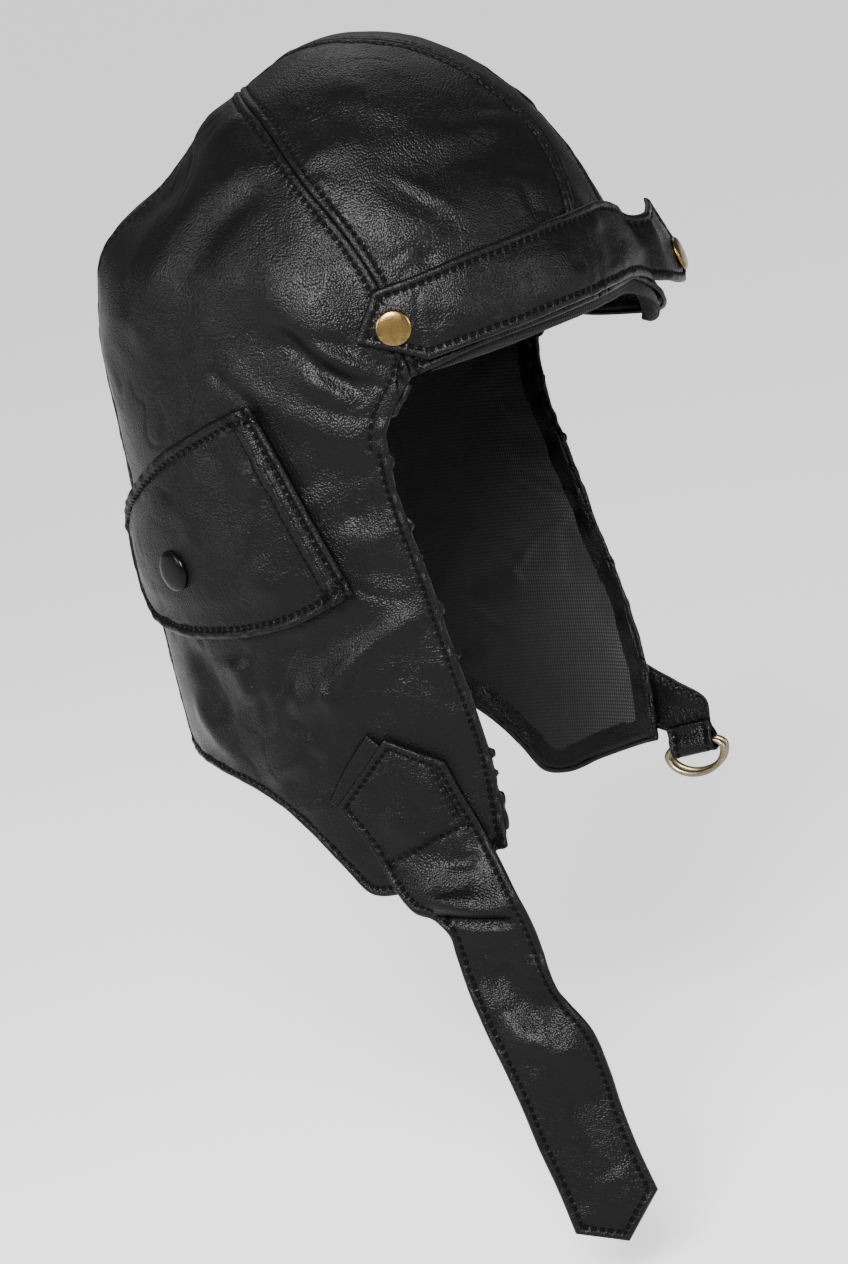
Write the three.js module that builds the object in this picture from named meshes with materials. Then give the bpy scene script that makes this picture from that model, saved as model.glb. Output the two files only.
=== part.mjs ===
// Aviator hat of soft black imitation leather, in the form it has when worn.
// Millimetres. +Z up, -Y the front, -X the wearer's right.
// The origin is the centre of the head circumference at the level of the temple snaps.
import * as THREE from "three";
import { mergeVertices } from "three/addons/utils/BufferGeometryUtils.js";

// Driving sizes
const CROWN_HEIGHT = 92;
const LEATHER = 2.0;
const LINING = 1.2;
const STRAP_THICKNESS = 2.4;
const COVER_THICKNESS = 2.2;
const SEAM_GAP = 0.25;
const LAY_GAP = 0.6;
const SNAP_CAP_RADIUS = 6.25;
const SNAP_CAP_HEIGHT = 1.8;
const COVER_CAP_RADIUS = 7.5;
const COVER_CAP_HEIGHT = 2.2;
const STUD_RADIUS = 3.6;
const STUD_HEIGHT = 2.2;
const BACK_PLATE_RADIUS = 4.6;
const BACK_PLATE_HEIGHT = 0.9;
const RING_WIRE = 1.2;
const RING_HALF_WIDTH = 11.4;
const RING_DEPTH = 11;
const RING_CORNER = 2.3;
const RING_SPACING = 3.3;
const LOOP_WIDTH = 17.6;
const LOOP_HOLE_DOWN = 7;
const FLAP_SWING = 15;

// Grid counts
const FRONT_STEPS = 12;
const TOP_STEPS = 8;
const BACK_TOP_STEPS = 13;
const EDGE_STEPS = 14;
const STRIP_STEPS = 4;

const V = (x, y, z) => new THREE.Vector3(x, y, z);

// A table is read by the names of its columns.
function table(columns, rows) {
  return rows.map((row) => Object.fromEntries(columns.map((name, i) => [name, row[i]])));
}

// Head form above the origin: climb is an angle, the other columns are scaled by its cosine except centre.
const CROWN = table(
  ["climb", "centre", "length", "width"],
  [
    [0, 3.5, 97.5, 81],
    [15, 3.5, 92.5, 81.5],
    [30, -1.3, 85, 79],
    [45, -6, 77.5, 76.5],
    [60, -7.5, 73.5, 75.5],
    [75, -8, 72, 75],
    [90, -8, 72, 75],
  ],
);

// Head form below the origin: half length and half width at each height.
const SKIRT = table(
  ["height", "centre", "length", "width"],
  [
    [-200, 4.5, 86.5, 71],
    [-160, 5.8, 89.8, 75.5],
    [-120, 6.2, 92.2, 79],
    [-80, 6, 94, 81.5],
    [-40, 5.2, 95.5, 82],
    [0, 3.5, 97.5, 81],
  ],
);

// Folds and dents of the leather: a soft ridge from one point to another.
const FOLDS = table(
  ["x1", "y1", "z1", "x2", "y2", "z2", "spread", "height"],
  [
    [-60, 60, 34, -40, 80, -6, 20, 1.8],
    [-26, 40, 72, -40, 28, 72, 15, 4.6],
    [-46, 50, 52, -40, 62, 46, 9, -1.6],
    [-32, 86, 34, 26, 88, 34, 17, 5.6],
    [-6, 10, 91, 14, 8, 90, 18, 1.6],
    [-62, 22, 58, -66, 52, 40, 15, 1.8],
    [-78, 0, -2, -80, 22, 14, 9, -1.4],
    [-78, -14, -8, -76, 0, 22, 10, 1.6],
    [-30, -76, 40, -6, -84, 24, 9, 1.2],
    [-74, 30, -150, -78, -2, -118, 10, 1.6],
    [-76, 16, -112, -80, -8, -104, 8, -1.2],
    [74, 30, -150, 78, 2, -120, 11, 1.6],
    [60, 60, 30, 44, 80, -10, 20, 1.6],
    [40, -88, -24, 54, -76, -26, 20, 16],
  ],
);

// Looks a value up in a table with a smooth curve through its rows.
function lookup(rows, key, at, name) {
  const last = rows.length - 1;
  const k = Math.min(Math.max(at, rows[0][key]), rows[last][key]);
  let i = 0;
  while (i < last - 1 && k > rows[i + 1][key]) {
    i += 1;
  }
  const slope = (j) => {
    const a = rows[Math.max(j - 1, 0)];
    const b = rows[Math.min(j + 1, last)];
    return (b[name] - a[name]) / (b[key] - a[key]);
  };
  const h = rows[i + 1][key] - rows[i][key];
  const u = (k - rows[i][key]) / h;
  const w = 1 - u;
  return (
    rows[i][name] * (1 + 2 * u) * w * w +
    slope(i) * h * u * w * w +
    rows[i + 1][name] * u * u * (3 - 2 * u) +
    slope(i + 1) * h * u * u * (u - 1)
  );
}

// Below 1 inside the head form, above 1 outside it.
function formValue(p) {
  const up = p.z > 0;
  const rows = up ? CROWN : SKIRT;
  const key = up ? "climb" : "height";
  const climb = THREE.MathUtils.radToDeg(Math.asin(Math.min(p.z / CROWN_HEIGHT, 1)));
  const at = up ? climb : p.z;
  const x = p.x / lookup(rows, key, at, "width");
  const centre = lookup(rows, key, at, "centre");
  const y = (p.y - centre) / lookup(rows, key, at, "length");
  const z = up ? p.z / CROWN_HEIGHT : 0;
  return x * x + y * y + z * z;
}

// The point of the form that lies on the ray through p: from the middle above the origin, level below it.
function onForm(p) {
  if (p.z <= 0) {
    const centre = lookup(SKIRT, "height", p.z, "centre");
    const scale = 1 / Math.sqrt(formValue(p));
    return V(p.x * scale, centre + (p.y - centre) * scale, p.z);
  }
  const middle = V(0, CROWN[0].centre, 0);
  const ray = p.clone().sub(middle);
  let inside = 0;
  let outside = 4;
  for (let i = 0; i < 40; i += 1) {
    const s = (inside + outside) / 2;
    const q = middle.clone().addScaledVector(ray, s);
    if (q.z < CROWN_HEIGHT && formValue(q) < 1) {
      inside = s;
    } else {
      outside = s;
    }
  }
  return middle.addScaledVector(ray, inside);
}

function formNormal(p) {
  const e = 0.05;
  const d = (x, y, z) => formValue(V(p.x + x, p.y + y, p.z + z)) - formValue(V(p.x - x, p.y - y, p.z - z));
  return V(d(e, 0, 0), d(0, e, 0), d(0, 0, e)).normalize();
}

// Height of all the folds at one point.
function foldHeight(p) {
  let sum = 0;
  for (const f of FOLDS) {
    const a = V(f.x1, f.y1, f.z1);
    const b = V(f.x2, f.y2, f.z2);
    const near = new THREE.Line3(a, b).closestPointToPoint(p, true, V(0, 0, 0));
    const r = near.distanceTo(p) / f.spread;
    sum += f.height * Math.exp(-r * r);
  }
  return sum;
}

const smooth = (from, to, value) => THREE.MathUtils.smoothstep(value, from, to);

// The left ear flap hangs further forward than the right one.
function swing(p) {
  if (p.x <= 0) {
    return p;
  }
  const low = 1 - smooth(-190, -45, p.z);
  const front = 1 - smooth(15, 80, p.y);
  return V(p.x, p.y - FLAP_SWING * low * front, p.z);
}

// A point of the outer face of the leather near p, lifted off it.
function skin(p, lift) {
  const q = onForm(p);
  const n = formNormal(q);
  return swing(q.clone().addScaledVector(n, foldHeight(q) + lift));
}

const curve = (points) => new THREE.CatmullRomCurve3(points.map((p) => V(...p)), false, "centripetal");
const mirrored = (points) => points.map(([x, y, z]) => [-x, y, z]);

// A point of a seam moved sideways along the form, to the left hand of its run for a positive distance.
function beside(seam, u, distance) {
  const a = onForm(seam.getPointAt(Math.max(u - 0.004, 0)));
  const b = onForm(seam.getPointAt(Math.min(u + 0.004, 1)));
  const p = onForm(seam.getPointAt(u));
  const side = formNormal(p).cross(b.sub(a)).normalize();
  return p.addScaledVector(side, distance);
}

// Seams and edges of the wearer's right side, as points near the form
const RIGHT_SEAM = [
  [-13, -91, -4],
  [-14, -85, 22],
  [-6, -80, 36],
  [0, -73, 50],
  [0, -60, 66],
  [-3, -42, 80],
  [-9, -16, 90],
  [-8, 4, 91],
  [-8, 20, 87],
  [-12, 37, 78],
  [-20, 54, 66],
  [-27, 68, 54],
  [-31, 80, 40],
  [-33, 92, 15],
  [-35, 94, -20],
  [-38, 90, -50],
  [-34, 92, -100],
  [-30, 90, -154],
];
const LEFT_SEAM = [
  [17, -90, -4],
  [18, -84, 22],
  [22, -77, 36],
  [26, -69, 50],
  [26, -56, 66],
  [23, -38, 78],
  [18, -16, 87],
  [17, 4, 88],
  [18, 20, 84],
  [20, 37, 75],
  [22, 54, 64],
  [24, 68, 53],
  [25, 80, 40],
  [27, 93, 15],
  [29, 96, -20],
  [30, 94, -50],
  [29, 94, -100],
  [26, 90, -154],
];
const TEMPLE_SEAM = [
  [-32, 20, 76],
  [-50, 6, 68],
  [-60, -4, 58],
  [-66, -12, 49],
  [-70, -20, 40],
  [-72, -28, 28],
  [-73.5, -35, 14],
  [-74, -39, -2],
];
const OPENING_EDGE = [
  [-76, -31, -34],
  [-76, -29.5, -50],
  [-75, -32, -70],
  [-73, -35, -88],
  [-70, -37.5, -112],
  [-66.5, -41.5, -140],
  [-63.5, -42.5, -160],
  [-61.5, -42, -190],
];
const FLAP_HEM = [
  [-61.5, -42, -190],
  [-64, -36, -191.5],
  [-69, -15, -198],
  [-71, 0, -203],
  [-71, 10, -202],
  [-71, 18, -192],
  [-71, 24, -184],
  [-71, 30, -177],
  [-69, 38, -169],
  [-65, 51, -162],
  [-55, 68, -157.5],
  [-32, 88, -154.5],
  [-30, 90, -154],
];
const RIGHT_FOREHEAD_EDGE = [
  [-13, -91, -4],
  [-36, -83, -5.5],
  [-59, -62, -9],
  [-69, -48, -14],
  [-73.5, -41.5, -18.5],
];

// The left end of the forehead edge droops, because the strap isn't fastened over it.
const LEFT_FOREHEAD_EDGE = [
  [17, -90, -4],
  [28, -88, -9],
  [39, -84, -20],
  [52, -75, -27],
  [64, -61, -28],
  [73.5, -41.5, -26],
];

// Where the temple seam meets the long seam, and where the two panel grids turn their corners
const FRONT_CORNER = 0.235;
const TEMPLE_CORNER = 0.415;
const BACK_CORNER = 0.53;

const along = (from, to, u) => from + (to - from) * u;

// A patch spanned by four sides that run bottom and top from left to right, left and right from bottom to top.
function patch(bottom, right, top, left) {
  const corner = (a, b) => a.clone().add(b).multiplyScalar(0.5);
  const c00 = corner(bottom(0), left(0));
  const c10 = corner(bottom(1), right(0));
  const c01 = corner(top(0), left(1));
  const c11 = corner(top(1), right(1));
  const pinned = (side, start, end) => (t) => {
    const p = side(t);
    p.addScaledVector(start.clone().sub(side(0)), Math.pow(1 - t, 8));
    p.addScaledVector(end.clone().sub(side(1)), Math.pow(t, 8));
    return p;
  };
  const b = pinned(bottom, c00, c10);
  const t = pinned(top, c01, c11);
  const l = pinned(left, c00, c01);
  const r = pinned(right, c10, c11);
  return (u, v) => {
    const p = b(u).multiplyScalar(1 - v);
    p.addScaledVector(t(u), v);
    p.addScaledVector(l(v), 1 - u);
    p.addScaledVector(r(v), u);
    p.addScaledVector(c00, -(1 - u) * (1 - v));
    p.addScaledVector(c10, -u * (1 - v));
    p.addScaledVector(c01, -(1 - u) * v);
    p.addScaledVector(c11, -u * v);
    return p;
  };
}

// Turns a geometry's faces outwards.
function facingOut(geometry) {
  geometry.deleteAttribute("normal");
  geometry.deleteAttribute("uv");
  const g = mergeVertices(geometry, 1e-4);
  const p = g.attributes.position;
  const index = g.index.array;
  let volume = 0;
  for (let i = 0; i < index.length; i += 3) {
    const a = new THREE.Vector3().fromBufferAttribute(p, index[i]);
    const b = new THREE.Vector3().fromBufferAttribute(p, index[i + 1]);
    const c = new THREE.Vector3().fromBufferAttribute(p, index[i + 2]);
    volume += a.dot(b.cross(c));
  }
  if (volume < 0) {
    for (let i = 0; i < index.length; i += 3) {
      const keep = index[i + 1];
      index[i + 1] = index[i + 2];
      index[i + 2] = keep;
    }
  }
  g.computeVertexNormals();
  return g;
}

// A closed sheet: at(u, v, w) is a point, w 0 on the inner face and 1 on the outer face.
function sheet(stepsU, stepsV, at) {
  const g = new THREE.BoxGeometry(1, 1, 1, stepsU, stepsV, 1);
  const p = g.attributes.position;
  for (let i = 0; i < p.count; i += 1) {
    const q = at(p.getX(i) + 0.5, p.getY(i) + 0.5, p.getZ(i) + 0.5);
    p.setXYZ(i, q.x, q.y, q.z);
  }
  return facingOut(g);
}

const leather = () => new THREE.MeshStandardMaterial({ color: 0x1b1a1b, roughness: 0.5 });
const knit = () => new THREE.MeshStandardMaterial({ color: 0x101012, roughness: 0.95 });
const brass = () => new THREE.MeshStandardMaterial({ color: 0xb08d4a, roughness: 0.4, metalness: 1 });
const gloss = () => new THREE.MeshStandardMaterial({ color: 0x0b0b0d, roughness: 0.2 });
const bronze = () => new THREE.MeshStandardMaterial({ color: 0x5f5545, roughness: 0.45, metalness: 1 });

const hat = new THREE.Group();
function add(name, geometry, material) {
  const mesh = new THREE.Mesh(geometry, material);
  mesh.name = name;
  hat.add(mesh);
}

// Crown and ear flaps. The right side lies to the left hand of its seams, the left side to the right hand.
const onPanel = (span) => (u, v, w) => skin(span(u, v), (w - 1) * LEATHER);
const sides = [
  { name: "right", seam: curve(RIGHT_SEAM), flip: (points) => points, hand: 1, edge: RIGHT_FOREHEAD_EDGE },
  { name: "left", seam: curve(LEFT_SEAM), flip: mirrored, hand: -1, edge: LEFT_FOREHEAD_EDGE },
];
for (const side of sides) {
  const { seam, flip, hand, edge } = side;
  const meet = seam.getPointAt(TEMPLE_CORNER);
  const corner = edge[edge.length - 1];
  const temple = curve([meet.toArray(), ...flip(TEMPLE_SEAM), corner]);
  const opening = curve([corner, ...flip(OPENING_EDGE)]);
  const hem = curve(flip(FLAP_HEM));
  const forehead = curve([seam.getPointAt(0).toArray(), ...edge.slice(1)]);
  const panelSeam = (from, to) => (u) => beside(seam, along(from, to, u), hand * SEAM_GAP);
  const templeFront = (u) => beside(temple, u, hand * SEAM_GAP);
  const templeBack = (u) => beside(temple, u, -hand * SEAM_GAP);
  const front = patch(
    (u) => forehead.getPointAt(u),
    (v) => templeFront(1 - v),
    panelSeam(FRONT_CORNER, TEMPLE_CORNER),
    panelSeam(0, FRONT_CORNER),
  );
  add("front_panel_" + side.name, sheet(TOP_STEPS, FRONT_STEPS, onPanel(front)), leather());
  const frontShare = FRONT_STEPS / (FRONT_STEPS + EDGE_STEPS);
  const templeThenOpening = (v) =>
    v <= frontShare ? templeBack(v / frontShare) : opening.getPointAt((v - frontShare) / (1 - frontShare));
  const back = patch(
    panelSeam(TEMPLE_CORNER, BACK_CORNER),
    panelSeam(BACK_CORNER, 1),
    (u) => hem.getPointAt(u),
    templeThenOpening,
  );
  add(
    "side_panel_" + side.name,
    sheet(BACK_TOP_STEPS, FRONT_STEPS + EDGE_STEPS, onPanel(back)),
    leather(),
  );
}

// The strip that runs from the forehead over the crown to the nape shares the stations of its neighbours.
const STRIP_STATIONS = [
  { from: 0, to: FRONT_CORNER, steps: FRONT_STEPS },
  { from: FRONT_CORNER, to: TEMPLE_CORNER, steps: TOP_STEPS },
  { from: TEMPLE_CORNER, to: BACK_CORNER, steps: BACK_TOP_STEPS },
  { from: BACK_CORNER, to: 1, steps: FRONT_STEPS + EDGE_STEPS },
].flatMap(({ from, to, steps }) => Array.from({ length: steps }, (_, i) => along(from, to, i / steps)));
STRIP_STATIONS.push(1);
function onStrip(u, v, w) {
  const station = STRIP_STATIONS[Math.round(v * (STRIP_STATIONS.length - 1))];
  const a = beside(sides[0].seam, station, -SEAM_GAP);
  const b = beside(sides[1].seam, station, SEAM_GAP);
  return skin(a.lerp(b, u), (w - 1) * LEATHER);
}
add("crown_centre_strip", sheet(STRIP_STEPS, STRIP_STATIONS.length - 1, onStrip), leather());

// A pair of rails: a point between them at u across and v along, with its ends drawn out to apex points.
function ribbon(first, second, startApex, endApex) {
  const a = curve(first);
  const b = curve(second);
  return (u, v) => {
    const p = a.getPoint(v).lerp(b.getPoint(v), u);
    const middle = 1 - Math.abs(2 * u - 1);
    const pull = (apex, t, share) => {
      const centre = a.getPoint(t).lerp(b.getPoint(t), 0.5);
      p.addScaledVector(V(...apex).sub(centre), middle * share);
    };
    if (startApex) {
      pull(startApex, 0, Math.max(1 - v / END_SHARE, 0));
    }
    if (endApex) {
      pull(endApex, 1, Math.max(1 - (1 - v) / END_SHARE, 0));
    }
    return p;
  };
}
const END_SHARE = 0.16;

// The direction a ribbon faces at u, v.
function facing(at, u, v) {
  const e = 0.01;
  const du = at(Math.min(u + e, 1), v).sub(at(Math.max(u - e, 0), v));
  const dv = at(u, Math.min(v + e, 1)).sub(at(u, Math.max(v - e, 0)));
  return du.cross(dv).normalize();
}

// Knit lining band that shows below the forehead edge
const LINING_LOW = [
  [-69, -47.5, -15],
  [-64, -56, -14],
  [-55, -68, -12],
  [-36, -83, -9.5],
  [-14, -92, -9],
  [0, -94, -9],
  [16, -91, -9.5],
  [28, -88, -13],
  [39, -84, -23.5],
  [47, -79, -28],
  [53, -74, -29.5],
];
const LINING_HIGH_Z = 7;
const LINING_GAP = 0.9;
const liningLow = curve(LINING_LOW);
add(
  "forehead_lining",
  sheet(30, 2, (u, v, w) => {
    const p = onForm(liningLow.getPoint(u));
    p.z = along(p.z, LINING_HIGH_Z, v);
    return skin(p, -LEATHER - LINING_GAP + (w - 1) * LINING);
  }),
  knit(),
);

// Forehead strap: it lies on the hat from the right temple over the forehead and ends free beyond the left side.
const STRAP_TOP = [
  [-74, -33, 13],
  [-67, -48, 16],
  [-57, -60, 19],
  [-44, -72, 21],
  [-29, -80, 22.5],
  [-13, -86, 23],
  [4, -87, 22.5],
  [20, -87, 18],
  [34, -91, 12],
  [45, -89, 12.5],
  [56, -85, 14],
];
const STRAP_BOTTOM = [
  [-69, -47, -13],
  [-59, -62, -10],
  [-48, -75, -8],
  [-36, -84, -6],
  [-22, -91, -5],
  [-8, -94, -4.5],
  [6, -94, -5],
  [20, -93, -7.5],
  [33, -96, -12],
  [46, -96, -16],
  [58, -94, -18],
];
const STRAP_RIGHT_APEX = [-77, -25, -3];
const STRAP_LEFT_APEX = [71, -91, -12];
const STRAP_LEAVES_FROM = 24;
const STRAP_LEAVES_TO = 40;
const foreheadBand = ribbon(STRAP_TOP, STRAP_BOTTOM, STRAP_RIGHT_APEX, STRAP_LEFT_APEX);
function onForeheadBand(u, v, lift) {
  const p = foreheadBand(u, v);
  const n = facing(foreheadBand, u, v);
  if (n.y > 0 && p.x > 0) {
    n.negate();
  }
  const free = smooth(STRAP_LEAVES_FROM, STRAP_LEAVES_TO, p.x);
  const lying = skin(p, lift);
  return lying.lerp(p.addScaledVector(n, lift), free);
}
add(
  "forehead_strap",
  sheet(4, 38, (u, v, w) => onForeheadBand(u, v, LAY_GAP + w * STRAP_THICKNESS)),
  leather(),
);

// Ear covers: a rounded pocket flap with one straight front edge
const COVER_FRONT = [
  [-81, 15, -20],
  [-81, 6, -43],
  [-81, -2, -66],
  [-80, -10, -89],
];
const COVER_BOTTOM = [
  [-80, -10, -89],
  [-80, -3, -93],
  [-80, 12, -99],
  [-78, 30, -102.5],
  [-71, 49, -104],
  [-62, 65, -104],
  [-50, 79, -102],
];
const COVER_BACK = [
  [-50, 79, -102],
  [-42, 88, -96],
  [-38, 92, -86],
  [-37, 93, -76],
  [-39, 91, -65],
  [-46, 84, -56],
];
const COVER_TOP = [
  [-46, 84, -56],
  [-54, 77, -50],
  [-68, 59, -37],
  [-76, 39, -28],
  [-80, 25, -22.5],
  [-81, 15, -20],
];
const COVER_LIFT = 0.6;
const COVER_SWELL = 2.2;
const COVER_REAR_LIFT = 1.4;
const COVER_CAP_AT = [-68, 58, -78];
const COVER_CAP_PLACE = [0.66, 0.4];
const coverFront = curve(COVER_FRONT);
const coverBottom = curve(COVER_BOTTOM);
const coverBack = curve(COVER_BACK);
const coverTop = curve(COVER_TOP);
const cover = patch(
  (u) => coverBottom.getPointAt(u),
  (v) => coverBack.getPointAt(v),
  (u) => coverTop.getPointAt(1 - u),
  (v) => coverFront.getPointAt(1 - v),
);
const swell = (u, v) =>
  COVER_LIFT + COVER_SWELL * Math.sin(Math.PI * u) * Math.sin(Math.PI * v) + COVER_REAR_LIFT * smooth(0.1, 1, u);
for (const side of sides) {
  const flip = side.hand;
  add(
    "ear_cover_" + side.name,
    sheet(12, 10, (u, v, w) => {
      const p = cover(u, v);
      p.x *= flip;
      return skin(p, swell(u, v) + w * COVER_THICKNESS);
    }),
    leather(),
  );
}

// A turned piece: the profile is radius and height, set on a point and facing along a direction.
function turned(profile, at, direction, segments) {
  const g = new THREE.LatheGeometry(
    profile.map(([r, h]) => new THREE.Vector2(r, h)),
    segments,
  );
  const turn = new THREE.Quaternion().setFromUnitVectors(V(0, 1, 0), direction);
  g.applyQuaternion(turn);
  g.translate(at.x, at.y, at.z);
  return facingOut(g);
}
const dome = (radius, height) => [
  [0, 0],
  [radius * 0.97, 0],
  [radius, height * 0.25],
  [radius * 0.96, height * 0.62],
  [radius * 0.78, height * 0.86],
  [radius * 0.4, height * 0.98],
  [0, height],
];

const SNAP_AT = [-73, -38, 0];
const STUD_AT = [73, -41.5, 0];
const SNAP_FREE_AT = { u: 0.5, v: 0.94 };
const snapRight = onForm(V(...SNAP_AT));
add(
  "snap_cap_right",
  turned(
    dome(SNAP_CAP_RADIUS, SNAP_CAP_HEIGHT),
    skin(snapRight, LAY_GAP + STRAP_THICKNESS + 0.5),
    formNormal(snapRight),
    20,
  ),
  brass(),
);
const freeOuter = onForeheadBand(SNAP_FREE_AT.u, SNAP_FREE_AT.v, LAY_GAP + STRAP_THICKNESS + 0.4);
const freeInner = onForeheadBand(SNAP_FREE_AT.u, SNAP_FREE_AT.v, LAY_GAP - 0.8);
const freeFacing = freeOuter.clone().sub(freeInner).normalize();
add(
  "snap_cap_left",
  turned(dome(SNAP_CAP_RADIUS, SNAP_CAP_HEIGHT), freeOuter, freeFacing, 20),
  brass(),
);
const SOCKET = [
  [0, 0],
  [4.8, 0],
  [4.8, 1.0],
  [3.4, 1.5],
  [2.6, 1.5],
  [2.4, 0.7],
  [0, 0.7],
];
add("snap_socket_left", turned(SOCKET, freeInner, freeFacing.clone().negate(), 18), brass());

// Stud of the left temple and the plate that holds it inside
const STUD = [
  [0, 0],
  [STUD_RADIUS, 0],
  [STUD_RADIUS, 0.6],
  [STUD_RADIUS * 0.5, 0.9],
  [STUD_RADIUS * 0.55, STUD_HEIGHT],
  [0, STUD_HEIGHT],
];
const studAt = onForm(V(...STUD_AT));
const studFacing = formNormal(studAt);
add("snap_stud_left", turned(STUD, skin(studAt, 0.4), studFacing, 20), brass());
add(
  "stud_plate_left",
  turned(
    dome(BACK_PLATE_RADIUS, BACK_PLATE_HEIGHT),
    skin(studAt, -LEATHER - 0.7),
    studFacing.clone().negate(),
    20,
  ),
  brass(),
);
for (const side of sides) {
  const at = onForm(V(COVER_CAP_AT[0] * side.hand, COVER_CAP_AT[1], COVER_CAP_AT[2]));
  add(
    "cover_cap_" + side.name,
    turned(
      dome(COVER_CAP_RADIUS, COVER_CAP_HEIGHT),
      skin(at, swell(...COVER_CAP_PLACE) + COVER_THICKNESS + 0.9),
      formNormal(at),
      20,
    ),
    gloss(),
  );
}

// Long chin strap, sewn on the right flap and hanging free: rear and front edge, from the sewn end to the tip
const CHIN_REAR = [
  [-74, 14, -167],
  [-74, 6, -181],
  [-75, -1, -198],
  [-79, -9.5, -207],
  [-79.5, -15.5, -209.5],
  [-78, -20.5, -215.5],
  [-77, -21.5, -224],
  [-78, -24, -236],
  [-79.5, -28.5, -251],
  [-80.5, -33.5, -265.5],
  [-81, -38, -280.5],
  [-81, -41.5, -295.5],
  [-81, -46, -311],
  [-81, -50, -328],
];
const CHIN_FRONT = [
  [-71, -28, -154],
  [-69, -32, -168],
  [-68, -37, -182],
  [-70, -42, -193],
  [-74, -47, -202],
  [-74, -50, -210],
  [-72.5, -51.5, -218],
  [-72, -53, -227],
  [-72, -56, -240],
  [-71, -65.5, -255.5],
  [-70, -69, -270.5],
  [-69, -71, -286],
  [-69, -74.5, -301.5],
  [-69, -79, -316.5],
];
const CHIN_SEWN_APEX = [-76, -9, -143];
const CHIN_TIP_APEX = [-74, -67, -334];
const chin = ribbon(CHIN_FRONT, CHIN_REAR, CHIN_SEWN_APEX, CHIN_TIP_APEX);

// Keeps a sewn-on strap off the leather below it.
function layOn(p, least, low) {
  const q = onForm(p);
  const n = formNormal(q);
  const lift = p.clone().sub(q).dot(n) - foldHeight(q);
  const wanted = least * smooth(low - 12, low, p.z) - 4 * (1 - smooth(low - 12, low, p.z));
  return p.addScaledVector(n, Math.max(wanted - lift, 0));
}
const FLAP_LOW = -203;
function onStrap(at, u, v, w, lay) {
  const n = facing(at, u, v);
  const p = lay(at(u, v));
  if (n.x * p.x < 0) {
    n.negate();
  }
  return p.addScaledVector(n, (w - 0.5) * STRAP_THICKNESS);
}
const layRight = (p) => layOn(p, LAY_GAP + STRAP_THICKNESS / 2, FLAP_LOW);
add(
  "chin_strap",
  sheet(4, 46, (u, v, w) => onStrap(chin, u, v, w, layRight)),
  leather(),
);

// Short strap with the rings, sewn on the left flap: front and rear edge, from the sewn end down
const RING_STRAP_FRONT = [
  [70, -43, -150],
  [69, -52, -161],
  [70, -64, -170],
  [71, -74, -178],
  [71, -74.5, -186.5],
];
const RING_STRAP_REAR = [
  [74, -11, -161],
  [73, -24, -174],
  [72, -38, -182],
  [71, -48, -186],
  [71, -56.5, -189.6],
];
const RING_SEWN_APEX = [76, -24, -140];
const ringStrap = ribbon(RING_STRAP_FRONT, RING_STRAP_REAR, RING_SEWN_APEX, null);
const layLeft = (p) => {
  const back = V(p.x, p.y + FLAP_SWING, p.z);
  const laid = layOn(back, LAY_GAP + STRAP_THICKNESS / 2, FLAP_LOW);
  return V(laid.x, laid.y - FLAP_SWING, laid.z);
};
add(
  "ring_strap",
  sheet(4, 18, (u, v, w) => onStrap(ringStrap, u, v, w, layLeft)),
  leather(),
);

// The end of the ring strap is folded round the straight bars of both rings.
const LOOP_AT = [71, -65.5, -188.4];
const LOOP_DOWN = [0, -0.16, -0.98];
const LOOP_SIDE = [
  [1.3, 0],
  [2.0, -2.2],
  [3.8, -4.6],
  [4.5, -7],
  [3.8, -9.2],
  [1.8, -10.4],
];
const HOLE_HALF_THICK = 3.2;
const HOLE_HALF_LONG = 1.7;
const loopOutline = new THREE.Shape(
  [...LOOP_SIDE, ...LOOP_SIDE.map(([x, y]) => [-x, y]).reverse()].map(([x, y]) => new THREE.Vector2(x, y)),
);
const HOLE_CORNERS = 12;
const holeOutline = new THREE.Path(
  Array.from({ length: HOLE_CORNERS }, (_, i) => {
    const a = (2 * Math.PI * i) / HOLE_CORNERS;
    const straight = (HOLE_HALF_THICK - HOLE_HALF_LONG) * Math.sign(Math.cos(a + 1e-6));
    return new THREE.Vector2(straight + HOLE_HALF_LONG * Math.cos(a), -LOOP_HOLE_DOWN + HOLE_HALF_LONG * Math.sin(a));
  }),
);
loopOutline.holes.push(holeOutline);
const loopUp = V(...LOOP_DOWN).normalize().negate();
const loopThick = V(1, 0, 0);
const loopFrame = new THREE.Matrix4().makeBasis(loopThick, loopUp, loopThick.clone().cross(loopUp));
loopFrame.setPosition(...LOOP_AT);
const loop = new THREE.ExtrudeGeometry(loopOutline, { depth: LOOP_WIDTH, bevelEnabled: false });
loop.translate(0, 0, -LOOP_WIDTH / 2);
loop.applyMatrix4(loopFrame);
add("ring_loop", facingOut(loop), leather());

// A ring with one straight bar and a round bow; tilt swings the bow about the bar.
const BOW_STEPS = 12;
function ring(offset, tilt) {
  const points = [];
  const bar = RING_HALF_WIDTH - RING_CORNER;
  for (let i = 0; i <= 4; i += 1) {
    points.push(V(0, 0, along(-bar, bar, i / 4)));
  }
  for (let i = 0; i <= BOW_STEPS; i += 1) {
    const a = (Math.PI * i) / BOW_STEPS;
    const down = RING_CORNER + (RING_DEPTH - RING_CORNER) * Math.sin(a);
    points.push(V(0, -down, RING_HALF_WIDTH * Math.cos(a)));
  }
  const path = new THREE.CatmullRomCurve3(points, true, "centripetal");
  const g = new THREE.TubeGeometry(path, 44, RING_WIRE, 8, true);
  g.rotateZ(THREE.MathUtils.degToRad(tilt));
  g.translate(offset, -LOOP_HOLE_DOWN, 0);
  g.applyMatrix4(loopFrame);
  return facingOut(g);
}
add("ring_outer", ring(RING_SPACING / 2, 5), bronze());
add("ring_inner", ring(-RING_SPACING / 2, -3), bronze());

export default hat;
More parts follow.
